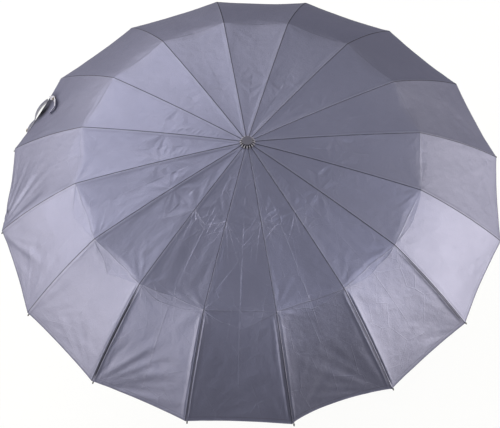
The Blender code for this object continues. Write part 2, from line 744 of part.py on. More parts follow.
def make_springs(material):
    """The opening spring in the upper tube, and the small one behind the button."""
    bottom = LOWER_TUBE_TOP + FIT
    top = UPPER_TUBE_TOP - CAP_STEM_LENGTH - FIT
    mesh = helix(SPRING_COIL_RADIUS, SPRING_WIRE_RADIUS, bottom, top, SPRING_TURNS, "opening_spring")
    place("opening_spring", mesh, material)

    back = POCKET_FLOOR_REACH + FIT
    front = BUTTON_BACK_REACH - FIT
    mesh = helix(BUTTON_SPRING_RADIUS, BUTTON_SPRING_WIRE, back, front, BUTTON_SPRING_TURNS, "button_spring")
    place("button_spring", moved(mesh, button_matrix()), material)


def cloth_ring(share_inner, share_outer):
    """Points of one ring of the cloth: a rib point, then the sagging middle of the gore."""
    over_rib = cloth_over_rib(share_inner, share_outer)
    flat = over_rib.x * math.cos(RIB_PITCH / 2)
    drawn_in = HEM_SCALLOP * share_outer ** HEM_SCALLOP_POWER if share_outer else 0
    sag = GORE_SAG * over_rib.x / HEM_RADIUS
    points = []
    for index in range(RIB_COUNT):
        azimuth = index * RIB_PITCH
        points.append(Vector((over_rib.x * math.cos(azimuth), over_rib.x * math.sin(azimuth), over_rib.y)))
        azimuth += RIB_PITCH / 2
        radius = flat - drawn_in
        height = over_rib.y - sag + drawn_in
        points.append(Vector((radius * math.cos(azimuth), radius * math.sin(azimuth), height)))
    return points


def make_canopy(material):
    """Sixteen gores over the ribs as one thin solid, with the hole for the cap's stem."""
    upper = []
    for index in range(CLOTH_INNER_STEPS + 1):
        upper.append(cloth_ring(index / CLOTH_INNER_STEPS, None))
    for index in range(1, CLOTH_OUTER_STEPS + 1):
        upper.append(cloth_ring(None, index / CLOTH_OUTER_STEPS))
    lower = []
    for index, ring in enumerate(upper):
        before = upper[max(index - 1, 0)]
        after = upper[min(index + 1, len(upper) - 1)]
        inner_ring = []
        for spot, near, far in zip(ring, before, after):
            outward = Vector((spot.x, spot.y, 0)).normalized()
            along = (far - near).normalized()
            across = Vector((-outward.y, outward.x, 0))
            inner_ring.append(spot - along.cross(across).normalized() * CLOTH_THICKNESS)
        lower.append(inner_ring)
    loop = upper + lower[::-1]
    work = bmesh.new()
    rings = [[work.verts.new(point) for point in ring] for ring in loop]
    for near, far in zip(rings, rings[1:] + rings[:1]):
        for index in range(len(near)):
            after = (index + 1) % len(near)
            work.faces.new((near[index], near[after], far[after], far[index]))
    place("canopy", mesh_from(work, "canopy"), material, smooth_angle=12)


def make_strap(material):
    """Band sewn to the hem by one end, standing off the hem in a bow, with a press stud."""
    first = cloth_ring(None, 1)[2 * STRAP_RIB]
    last = cloth_ring(None, 1)[(2 * STRAP_RIB + 2) % (2 * RIB_COUNT)]
    middle = cloth_ring(None, 1)[2 * STRAP_RIB + 1]
    outward = Vector((middle.x, middle.y, 0)).normalized()

    def on_hem(share):
        if share < 0.5:
            return first.lerp(middle, share * 2)
        return middle.lerp(last, share * 2 - 1)

    stand_off = STRAP_THICKNESS / 2 + FIT + CLOTH_THICKNESS
    sections = []
    for index in range(STRAP_STEPS + 1):
        share = index / STRAP_STEPS
        spot = on_hem(STRAP_SEAM_SHARE + (STRAP_END_SHARE - STRAP_SEAM_SHARE) * share)
        bow = STRAP_BOW * math.sin(math.pi * share) ** STRAP_BOW_FULLNESS
        centre = spot + outward * (stand_off + bow)
        half = STRAP_THICKNESS / 2
        up = STRAP_WIDTH / 2
        section = []
        for side, rise in ((-half, -up), (half, -up), (half, up), (-half, up)):
            section.append(centre + outward * side + Vector((0, 0, rise)))
        sections.append(section)
    band = lofted(sections, "strap_band")
    spot = on_hem(STRAP_END_SHARE) + outward * stand_off
    along = (last - first).normalized()
    stud_profile = [
        (0, 0),
        (STRAP_STUD_RADIUS, 0),
        (STRAP_STUD_RADIUS, STRAP_THICKNESS / 2 + STRAP_STUD_HEIGHT - CAP_CHAMFER),
        (STRAP_STUD_RADIUS - CAP_CHAMFER, STRAP_THICKNESS / 2 + STRAP_STUD_HEIGHT),
        (0, STRAP_THICKNESS / 2 + STRAP_STUD_HEIGHT),
    ]
    stud = turned(stud_profile, "strap_stud", HOLE_SIDES)
    turn = outward.to_track_quat("Z", "Y").to_matrix().to_4x4()
    seat = Matrix.Translation(spot - along * (STRAP_STUD_RADIUS + STRAP_THICKNESS)) @ turn
    place("closing_strap", combined(band, [moved(stud, seat)], [], "closing_strap"), material)


def build():
    clear_scene()
    make_inner_rib(finish("rib_steel", STEEL, 0.35, 1.0))
    make_outer_rib(finish("rod_black", DARK_ROD, 0.40, 0.0))
    make_stretcher(finish("stretcher_steel", STEEL, 0.35, 1.0))
    make_crown(finish("crown_black", BLACK_PLASTIC, 0.45, 0.0))
    make_ferrule_cap(finish("cap_grey", CAP_GREY, 0.40, 0.0))
    make_runner(finish("runner_black", BLACK_PLASTIC, 0.40, 0.0))
    make_tube(
        "upper_tube",
        UPPER_TUBE_RADIUS,
        UPPER_TUBE_BOTTOM,
        UPPER_TUBE_TOP,
        finish("upper_tube_steel", STEEL, 0.25, 1.0),
    )
    make_tube(
        "lower_tube",
        LOWER_TUBE_RADIUS,
        GRIP_TOP - TUBE_IN_GRIP + FIT,
        LOWER_TUBE_TOP,
        finish("lower_tube_steel", STEEL, 0.25, 1.0),
    )
    make_grip(finish("grip_black", GRIP_BLACK, 0.55, 0.0))
    make_end_cap(finish("end_cap_black", BLACK_PLASTIC, 0.30, 0.0))
    make_button(finish("button_grey", BUTTON_GREY, 0.35, 0.0))
    make_springs(finish("spring_steel", STEEL, 0.30, 1.0))
    make_canopy(finish("cloth_lavender", CLOTH_LAVENDER, 0.45, 0.0))
    make_strap(finish("strap_lavender", STRAP_LAVENDER, 0.50, 0.0))


build()
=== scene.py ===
"""The looks of an automatic folding umbrella, open, seen from above and in front."""

import math

import bmesh
import bpy
from mathutils import Matrix, Vector, noise


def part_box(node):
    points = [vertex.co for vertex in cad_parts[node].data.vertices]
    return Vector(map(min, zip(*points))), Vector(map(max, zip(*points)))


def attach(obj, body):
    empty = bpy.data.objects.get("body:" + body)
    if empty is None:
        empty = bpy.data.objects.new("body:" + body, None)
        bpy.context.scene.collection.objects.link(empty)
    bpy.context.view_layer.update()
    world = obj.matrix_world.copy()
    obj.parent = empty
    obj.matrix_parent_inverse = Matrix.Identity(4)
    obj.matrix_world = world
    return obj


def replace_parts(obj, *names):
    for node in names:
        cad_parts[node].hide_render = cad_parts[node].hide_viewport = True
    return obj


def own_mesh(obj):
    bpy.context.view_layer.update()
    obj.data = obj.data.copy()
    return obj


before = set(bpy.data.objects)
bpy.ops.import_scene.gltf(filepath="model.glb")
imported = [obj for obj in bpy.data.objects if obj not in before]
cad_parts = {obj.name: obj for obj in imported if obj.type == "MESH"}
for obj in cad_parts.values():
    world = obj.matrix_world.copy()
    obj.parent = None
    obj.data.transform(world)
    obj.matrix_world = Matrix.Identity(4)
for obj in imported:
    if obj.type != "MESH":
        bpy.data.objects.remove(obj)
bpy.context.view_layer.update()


# Canopy
# Sixteen gores of thin satin, sewn edge to edge along the ribs and hemmed at the rim.
# Each panel here is the cloth on both sides of one rib, out to the middle of its gores,
# so that it goes with that rib when the umbrella folds.

RIB_COUNT = 16
RIB_PITCH = 2 * math.pi / RIB_COUNT
APEX_HEIGHT = 0.5865
CAP_HOLE_RADIUS = 0.0070
KINK_RADIUS, KINK_HEIGHT = 0.350, 0.5293
INNER_BOW = 0.00485
HEM_RADIUS, HEM_HEIGHT = 0.522, 0.394
OUTER_BOW = 0.0074
GORE_SAG = 0.0030
HEM_SCALLOP = 0.0012
HEM_TURN_IN = 0.008
CLOTH_THICKNESS = 0.0006
FIRST_FOLD = 0.1700
FIRST_FOLD_REACH = 0.048
KINK_BEND = 0.31
KINK_RISE = 0.010
CROWN_PUFF_RADIUS = 0.0195
INNER_ROWS, OUTER_ROWS = 96, 66
SEAM_COLUMNS = (0.0, 0.004, 0.009, 0.014, 0.020, 0.027, 0.035, 0.045, 0.060)
OPEN_COLUMNS = 15
SEAM_TURNING, SEAM_ALLOWANCE, THREAD_PITCH = 0.0021, 0.0064, 0.0007
FOLD_STOPS_BEFORE_HEM = 0.016
# How high the slack cloth rises: long and fine waves, pulls from a tip, sway, pleats, the
# crumples along the kink, and the puff round the cap.
LONG_WAVE, FINE_WAVE, TIP_PULL, SWAY = 0.0007, 0.0002, 0.0030, 0.0005
PLEAT_HEIGHT, KINK_CRUMPLE, PUFF_HEIGHT = 0.0008, 0.0007, 0.0014
# Beside a seam: the turned layer, the dip and two rolls on one side, the roll and dip on the
# other, and the cross puckers with their spacing.
TURNED_LAYER, SEAM_DIP, SEAM_ROLL, SECOND_ROLL = 0.0003, 0.0013, 0.0022, 0.0010
FAR_ROLL, FAR_DIP = 0.0018, 0.0006
PUCKER_HEIGHT, PUCKER_PITCH = 0.00042, 0.0105
# The web of fine creases: how small its cells are, how wide its ridges, and how strong.
CLOSE_WEB, WIDE_WEB = (27.0, 0.022, 0.50), (15.0, 0.013, 0.32)
# The dye where it is thinnest and deepest; a painted highlight on the creases and on the seam's
# turned edge; painted shade at the edge of the seam allowance and in deep folds; and the stitches.
DYE_DARK, DYE_LIGHT = (0.196, 0.196, 0.288, 1), (0.235, 0.235, 0.340, 1)
CREASE_HIGHLIGHT, TURNED_EDGE_HIGHLIGHT = (0.55, 0.54, 0.62, 1), (0.52, 0.51, 0.60, 1)
SUNK_EDGE_SHADE, STITCH_LINE = (0.09, 0.09, 0.13, 1), (0.035, 0.035, 0.055, 1)
DEEP_FOLD_SHADE, HEM_STITCHES = (0.012, 0.012, 0.018, 1), (0.10, 0.10, 0.14, 1)
# The gore with a loose hem, which curls up and in.
LOOSE_GORE, LOOSE_SCALLOP = 12, 0.0100
# The strap's gore has a hollow above its hem, with shade painted into its cloth: how far across it,
# and how deep.
PULLED_GORE, PULLED_SHARE, PULLED_DEPTH = 6, 0.47, 0.002

# For each gore: how sharply it was pressed, how far its diagonal folds reach past the kink,
# how much it pulls towards its first and its second tip, and how much it pleats up there.
GORES = (
    (0.30, 0.012, 0.10, 0.15, 0.15),
    (0.20, 0.012, 0.10, 0.10, 0.10),
    (0.30, 0.012, 0.10, 0.10, 0.20),
    (0.20, 0.010, 0.08, 0.08, 0.10),
    (0.15, 0.010, 0.08, 0.20, 0.10),
    (0.20, 0.009, 0.10, 0.12, 0.10),
    (0.40, 0.012, 0.10, 0.30, 0.15),
    (0.60, 0.034, 0.15, 1.00, 0.20),
    (0.60, 0.030, 0.60, 0.25, 0.30),
    (0.65, 0.032, 0.25, 0.20, 0.60),
    (1.00, 0.024, 0.80, 0.25, 1.00),
    (0.90, 0.040, 0.40, 0.25, 0.45),
    (0.90, 0.016, 0.35, 0.35, 0.35),
    (0.80, 0.018, 0.20, 0.12, 0.80),
    (0.50, 0.014, 0.15, 0.15, 0.30),
    (0.45, 0.012, 0.12, 0.15, 0.20),
)
# Over these ribs the cloth stands off in long folds beside the seam.
SEAM_FOLDS = {9: 0.25, 10: 1.0, 11: 0.75, 12: 0.85, 13: 1.0, 14: 0.45, 8: 0.30}
# Beside these seams a fold's shadow is painted into the cloth: rib and side, and how dark.
SEAM_SHADOWS = {
    (10, 1): 1.0, (14, -1): 0.85, (11, 1): 0.40,
    (12, -1): 0.30, (12, 1): 0.25, (13, -1): 0.40,
}
# Short cross puckers beside the seam: rib, side, start and end along it.
PUCKERS = ((7, -1, 0.015, 0.165), (7, 1, 0.085, 0.160), (13, 1, 0.030, 0.150), (8, -1, 0.10, 0.17))

kink = Vector((KINK_RADIUS, KINK_HEIGHT))
hem = Vector((HEM_RADIUS, HEM_HEIGHT))
inner_length = math.hypot(KINK_RADIUS, APEX_HEIGHT - KINK_HEIGHT)
outer_length = (hem - kink).length


def rib_line(down):
    """Radius and height of the cloth over a rib: 0 at the cap, 1 at the kink, 2 at the hem."""
    if down <= 1:
        radius = CAP_HOLE_RADIUS + (KINK_RADIUS - CAP_HOLE_RADIUS) * down
        share = radius / KINK_RADIUS
        fall = (APEX_HEIGHT - KINK_HEIGHT) * share
        return Vector((radius, APEX_HEIGHT - fall + 4 * INNER_BOW * share * (1 - share)))
    share = down - 1
    chord = hem - kink
    upright = Vector((-chord.y, chord.x)).normalized()
    return kink + chord * share + upright * (4 * OUTER_BOW * share * (1 - share))


def rib_lift(down):
    """The way a rib's line faces; over the kink it turns smoothly."""
    step = 0.004
    def facing(low, high):
        ahead = rib_line(high) - rib_line(low)
        return Vector((-ahead.y, ahead.x)).normalized()
    before = facing(max(min(down, 1) - step, 0), max(min(down, 1), step))
    after = facing(max(down, 1), max(down, 1) + step)
    near = max(0.0, 1 - abs(down - 1) / 0.10) ** 2 / 2
    share = near if down <= 1 else 1 - near
    return before.lerp(after, share).normalized()


def eased(value, low, high):
    share = min(max((value - low) / (high - low), 0.0), 1.0)
    return share * share * (3 - 2 * share)


def hump(value, middle, half_width):
    return math.exp(-((value - middle) / half_width) ** 2)


def creased(x, y, z):
    """Sharp ridges, as in cloth that was folded and pressed."""
    return 1 - 2 * abs(noise.noise(Vector((x, y, z))))


def cut_corner(past, above, below, bend):
    """How far a bend that is shared by two creases lies under a single sharp one."""
    if past <= -above or past >= below:
        return 0.0
    depth = bend * above * below / (above + below)
    return depth * (1 + past / above if past < 0 else 1 - past / below)


class Place:
    """One place in a gore, in metres from its seams, its middle and its folds."""

    def __init__(self, gore, across, down):
        self.gore = gore % RIB_COUNT
        self.pressed, reach, self.pull_first, self.pull_second, self.pleat = GORES[self.gore]
        self.down = down
        self.radius = rib_line(down).x
        self.width = 2 * self.radius * math.sin(RIB_PITCH / 2)
        self.along = inner_length * min(down, 1) + outer_length * max(down - 1, 0)
        self.beside = self.width * (across - 0.5)
        self.second_half = across > 0.5
        self.from_seam = self.width * min(across, 1 - across)
        self.to_middle = 2 * min(across, 1 - across)
        self.seed = self.gore * 7.31
        wander = noise.noise(Vector((self.beside * 22, 4.4, self.seed)))
        self.past_kink = self.along - inner_length - 0.003 * wander * self.to_middle
        self.reach = reach * (self.to_middle ** 0.9) * (1 + 0.35 * wander)
        first_reach = FIRST_FOLD_REACH * (0.75 + 0.5 * noise.cell(Vector((self.seed, 1.5, 0))))
        self.past_first = self.along - FIRST_FOLD - first_reach * self.to_middle
        self.past_first -= 0.004 * wander
        self.painted_shade = 0.0
        # Painted shade: the cloth is darkened in the strap's hollow and beside the seams in
        # SEAM_SHADOWS, where shadow would fall.
        if self.gore == PULLED_GORE:
            hollow = 0.97 * hump(across, PULLED_SHARE + 0.01, 0.125)
            hollow_side = 0.50 * hump(across, PULLED_SHARE - 0.17, 0.07)
            self.painted_shade = hollow * eased(down, 1.78, 1.92)
            self.painted_shade += hollow_side * eased(down, 1.74, 1.93)
        rib, side = (self.gore + 1, -1) if self.second_half else (self.gore, 1)
        shadow = SEAM_SHADOWS.get((rib % RIB_COUNT, side), 0.0)
        shadow *= eased(down, 1.00, 1.25) * (1 - eased(down, 1.90, 2.0))
        self.painted_shade += shadow * hump(self.from_seam, 0.0030, 0.0021)
        self.first_away, self.first_angle = self.about_joint(FIRST_FOLD)
        self.kink_away, self.kink_angle = self.about_joint(inner_length)

    def about_joint(self, joint_along):
        """How far a joint of the rib is, and in which direction it is seen."""
        past = self.along - joint_along
        return math.hypot(past, self.from_seam), math.atan2(past, self.from_seam + 0.0004)


def folds(spot):
    """Height of the kink's and the first fold ring's facets against two plain cones."""
    above = 0.0015 + KINK_RISE * spot.to_middle
    below = 0.0020 + spot.reach
    sharp = cut_corner(spot.past_kink, above, below, KINK_BEND)
    round_width = 0.004 + 0.030 * spot.to_middle
    inside = max(0.0, round_width - abs(spot.past_kink - 0.004 * spot.to_middle))
    soft = KINK_BEND * inside ** 2 / (4 * round_width)
    height = -soft - (sharp - soft) * eased(spot.pressed, 0.15, 0.65)
    past_ring = spot.along - FIRST_FOLD
    reach = past_ring - spot.past_first + 0.002
    height -= cut_corner(past_ring, 0.004 + 0.010 * spot.to_middle, max(reach, 0.004), 0.05)
    return height


def wrinkles(spot):
    """Height of what hangs slack: pulls from the tips, pleats, crumples and soft waves."""
    height = LONG_WAVE * noise.noise(Vector((spot.beside * 17, spot.along * 10, spot.seed)))
    height += FINE_WAVE * noise.noise(Vector((spot.beside * 70, spot.along * 50, spot.seed + 3)))

    outer = eased(spot.down, 1.05, 1.5)
    if outer:
        to_hem = inner_length + outer_length + 0.012 - spot.along
        for side, pull in ((-1, spot.pull_first), (1, spot.pull_second)):
            from_rib = spot.width / 2 - side * spot.beside
            away = math.hypot(to_hem, from_rib)
            angle = math.atan2(to_hem, from_rib)
            fan = noise.noise(Vector((angle * 7.5, away * 5, spot.seed + side)))
            near = eased(away, 0.006, 0.05) * (1 - eased(away, 0.10, 0.20))
            height += TIP_PULL * pull * outer * near * fan
        sway = noise.noise(Vector((spot.beside * 9, spot.along * 38, spot.seed)))
        height += SWAY * outer * sway

    between = eased(spot.along, FIRST_FOLD + 0.01, FIRST_FOLD + 0.05)
    between *= 1 - eased(spot.down, 0.86, 0.98)
    pleats = noise.noise(Vector((spot.beside * 62, spot.along * 7, spot.seed + 5)))
    height += PLEAT_HEIGHT * spot.pleat * between * pleats

    half_seed = spot.seed + 3.3 * spot.second_half
    for away, angle, reach, size in (
        (spot.first_away, spot.first_angle, 0.026, 0.0013),
        (spot.kink_away, spot.kink_angle, 0.020, 0.0011),
    ):
        star = (away / reach) * math.exp(1 - away / reach) if away < 0.12 else 0.0
        rays = creased(angle * 1.9, away * 6, half_seed + reach * 100) - 0.4
        height += size * star * (0.25 + 0.75 * spot.pressed) * rays
    ring = math.exp(-abs(spot.past_kink) / 0.014) * (0.2 + 0.8 * spot.pressed)
    height += KINK_CRUMPLE * ring * creased(spot.beside * 16, spot.along * 55, spot.seed + 13)

    puff = hump(spot.radius, CROWN_PUFF_RADIUS, 0.0035) * spot.to_middle
    height += PUFF_HEIGHT * puff * (0.5 + noise.cell(Vector((spot.seed, 0.5, 0))))
    return height * eased(spot.from_seam, 0.0, 0.016)


def beside_seam(spot):
    """Height of the cloth next to a seam: the pressed turning, long folds and puckers."""
    rib = (spot.gore + spot.second_half) % RIB_COUNT
    side = -1 if spot.second_half else 1
    off = spot.from_seam
    height = 0.0
    if side > 0:
        height += TURNED_LAYER * eased(off, 0.0002, 0.0012) * (1 - eased(off, 0.0055, 0.0068))
    amount = SEAM_FOLDS.get(rib, 0.0) * eased(spot.down, 1.0, 1.12)
    amount *= 1 - eased(spot.down, 1.9, 2.0)
    if amount:
        drift = noise.noise(Vector((spot.along * 14, rib * 3.1, side)))
        rest = 0.65 + 0.5 * noise.noise(Vector((spot.along * 9, rib * 5.7, side + 4)))
        ridge = 0.0062 + 0.0016 * drift
        if side > 0:
            height -= SEAM_DIP * amount * hump(off, 0.0026, 0.0011)
            height += SEAM_ROLL * amount * rest * hump(off, ridge, 0.0020)
            height += SECOND_ROLL * amount * rest * hump(off, ridge + 0.006, 0.0018)
        else:
            height += FAR_ROLL * amount * rest * hump(off, ridge - 0.0010, 0.0019)
            height -= FAR_DIP * amount * hump(off, ridge + 0.0036, 0.0014)
    for pucker_rib, pucker_side, start, end in PUCKERS:
        if rib == pucker_rib and side == pucker_side and start < spot.along < end:
            ends = eased(spot.along, start, start + 0.03) * (1 - eased(spot.along, end - 0.03, end))
            slant = spot.along + 0.5 * off
            shift = noise.noise(Vector((spot.along * 30, off * 20, rib)))
            wave = math.sin(2 * math.pi * slant / PUCKER_PITCH + 2.5 * shift)
            height += PUCKER_HEIGHT * ends * wave * hump(off, 0.011, 0.009)
    return height


def cloth_point(gore, across, down):
    """A place on the cloth between rib gore and the next one, across it from 0 to 1."""
    line = rib_line(down)
    corners = []
    for rib in (gore, gore + 1):
        azimuth = rib * RIB_PITCH
        corners.append(Vector((line.x * math.cos(azimuth), line.x * math.sin(azimuth), line.y)))
    middle = (gore + 0.5) * RIB_PITCH
    outward = Vector((math.cos(middle), math.sin(middle), 0))
    lift = rib_lift(down)
    facing = outward * lift.x + Vector((0, 0, lift.y))
    belly = 4 * across * (1 - across)
    scallop = HEM_SCALLOP * belly
    if gore % RIB_COUNT == LOOSE_GORE:
        scallop = LOOSE_SCALLOP * belly ** 0.7 * (1 - 0.45 * across)
    drawn_in = scallop * max(down - 1, 0) ** 4
    spot = Place(gore, across, down)
    rise = folds(spot) + wrinkles(spot) + beside_seam(spot)
    rise -= GORE_SAG * belly * line.x / HEM_RADIUS
    if gore % RIB_COUNT == PULLED_GORE:
        pocket = eased(down, 1.86, 1.935) * (1 - eased(down, 1.95, 1.995))
        rise -= PULLED_DEPTH * pocket * hump(across, PULLED_SHARE, 0.11)
    point = corners[0].lerp(corners[1], across) + facing * rise
    return point + (Vector((0, 0, 1)) - outward) * drawn_in, spot


half_shares = list(SEAM_COLUMNS)
for step in range(1, OPEN_COLUMNS + 1):
    half_shares.append(SEAM_COLUMNS[-1] + (0.5 - SEAM_COLUMNS[-1]) * step / OPEN_COLUMNS)
column_shares = [-share for share in reversed(half_shares[1:])] + half_shares


def placed(name, data):
    """An object in the scene."""
    made = bpy.data.objects.new(name, data)
    bpy.context.collection.objects.link(made)
    return made


def smooth_mesh(work, name, sharp_angle=None):
    """The mesh of a finished piece of work, smooth but for edges sharper than an angle."""
    mesh = bpy.data.meshes.new(name)
    work.to_mesh(mesh)
    work.free()
    mesh.shade_smooth()
    if sharp_angle is not None:
        mesh.set_sharp_from_angle(angle=math.radians(sharp_angle))
    return mesh


def cloth_panel(rib, rows, turned_in, name):
    """The cloth beside one rib; the hem's turned-in edge lies under the last row."""
    work = bmesh.new()
    marks = ("from_seam", "from_middle", "down_rib", "past_kink", "past_fold", "past_first")
    marks += ("pressed", "first_away", "first_angle", "kink_away", "kink_angle", "painted_shade")
    layers = {mark: work.verts.layers.float.new(mark) for mark in marks}
    grid = []
    for down in rows:
        row = []
        for share in column_shares:
            gore, across = (rib - 1, 1 + share) if share < 0 else (rib, share)
            point, spot = cloth_point(gore, across, down)
            vert = work.verts.new(point)
            known = vars(spot) | {
                "from_seam": math.copysign(spot.from_seam, share),
                "from_middle": abs(spot.beside),
                "down_rib": spot.along,
                "past_fold": spot.past_kink - spot.reach,
            }
            for mark, layer in layers.items():
                vert[layer] = known[mark]
            row.append(vert)
        grid.append(row)
    if turned_in:
        source, edge = grid[-1], grid[-2]
        for back in (0.02, 1.0):
            row = []
            for vert, behind in zip(source, edge):
                inward = (behind.co - vert.co).normalized()
                copy = work.verts.new(vert.co + inward * HEM_TURN_IN * back)
                copy.co.z -= CLOTH_THICKNESS
                for layer in layers.values():
                    copy[layer] = vert[layer]
                copy[layers["down_rib"]] -= HEM_TURN_IN * back
                row.append(copy)
            grid.append(row)
    for near, far in zip(grid, grid[1:]):
        for index in range(len(near) - 1):
            work.faces.new((near[index], far[index], far[index + 1], near[index + 1]))
    return smooth_mesh(work, name)


class Finish:
    """A material whose nodes are added one by one and joined by name."""

    def __init__(self, name):
        self.material = bpy.data.materials.new(name)
        self.material.use_nodes = True
        self.tree = self.material.node_tree
        self.shader = self.tree.nodes["Principled BSDF"]
        self.place = self.add("ShaderNodeTexCoord").outputs["Object"]

    def add(self, kind, settings=None, **inputs):
        made = self.tree.nodes.new(kind)
        for key, value in (settings or {}).items():
            setattr(made, key, value)
        for key, value in inputs.items():
            self.join(made, key, value)
        return made

    def join(self, target, key, value):
        names = {socket.name.replace(" ", "_"): socket for socket in reversed(target.inputs)}
        socket = target.inputs[int(key[1:])] if key[1:].isdigit() else names[key]
        if isinstance(value, bpy.types.NodeSocket):
            self.tree.links.new(value, socket)
        else:
            socket.default_value = value

    def maths(self, operation, *values):
        made = self.add("ShaderNodeMath", {"operation": operation})
        for index, value in enumerate(values):
            self.join(made, f"i{index}", value)
        return made.outputs[0]

    def times(self, first, second):
        """One value times another."""
        return self.maths("MULTIPLY", first, second)

    def apart(self, first, second):
        """How far two values are from each other."""
        return self.maths("ABSOLUTE", self.maths("SUBTRACT", first, second))

    def total(self, *values):
        result = values[0]
        for value in values[1:]:
            result = self.maths("ADD", result, value)
        return result

    def mark(self, name):
        return self.add("ShaderNodeAttribute", {"attribute_name": name}).outputs["Fac"]

    def stretched(self, x, y, z):
        """The object's own coordinates, scaled along each axis."""
        made = self.add("ShaderNodeMapping", Vector=self.place, Scale=(x, y, z))
        return made.outputs["Vector"]

    def noise(self, scale, detail=2.0, roughness=0.5, vector=None):
        made = self.add("ShaderNodeTexNoise", Scale=scale, Detail=detail, Roughness=roughness)
        self.join(made, "Vector", self.place if vector is None else vector)
        return made.outputs["Fac"]

    def between(self, share, low, high, from_low=0.0, from_high=1.0):
        """Spread a value from one range over another, stopping at its ends."""
        made = self.add(
            "ShaderNodeMapRange",
            Value=share, From_Min=from_low, From_Max=from_high, To_Min=low, To_Max=high,
        )
        return made.outputs["Result"]

    def mixed(self, share, first, second):
        made = self.add("ShaderNodeMix", {"data_type": "RGBA"})
        for key, value in (("i0", share), ("i6", first), ("i7", second)):
            self.join(made, key, value)
        return made.outputs[2]

    def bump(self, height, distance, strength=1.0, before=None):
        made = self.add("ShaderNodeBump", Height=height, Distance=distance, Strength=strength)
        if before is not None:
            self.join(made, "Normal", before)
        return made.outputs["Normal"]

    def shade(self, **inputs):
        for key, value in inputs.items():
            self.join(self.shader, key, value)
        return self.material


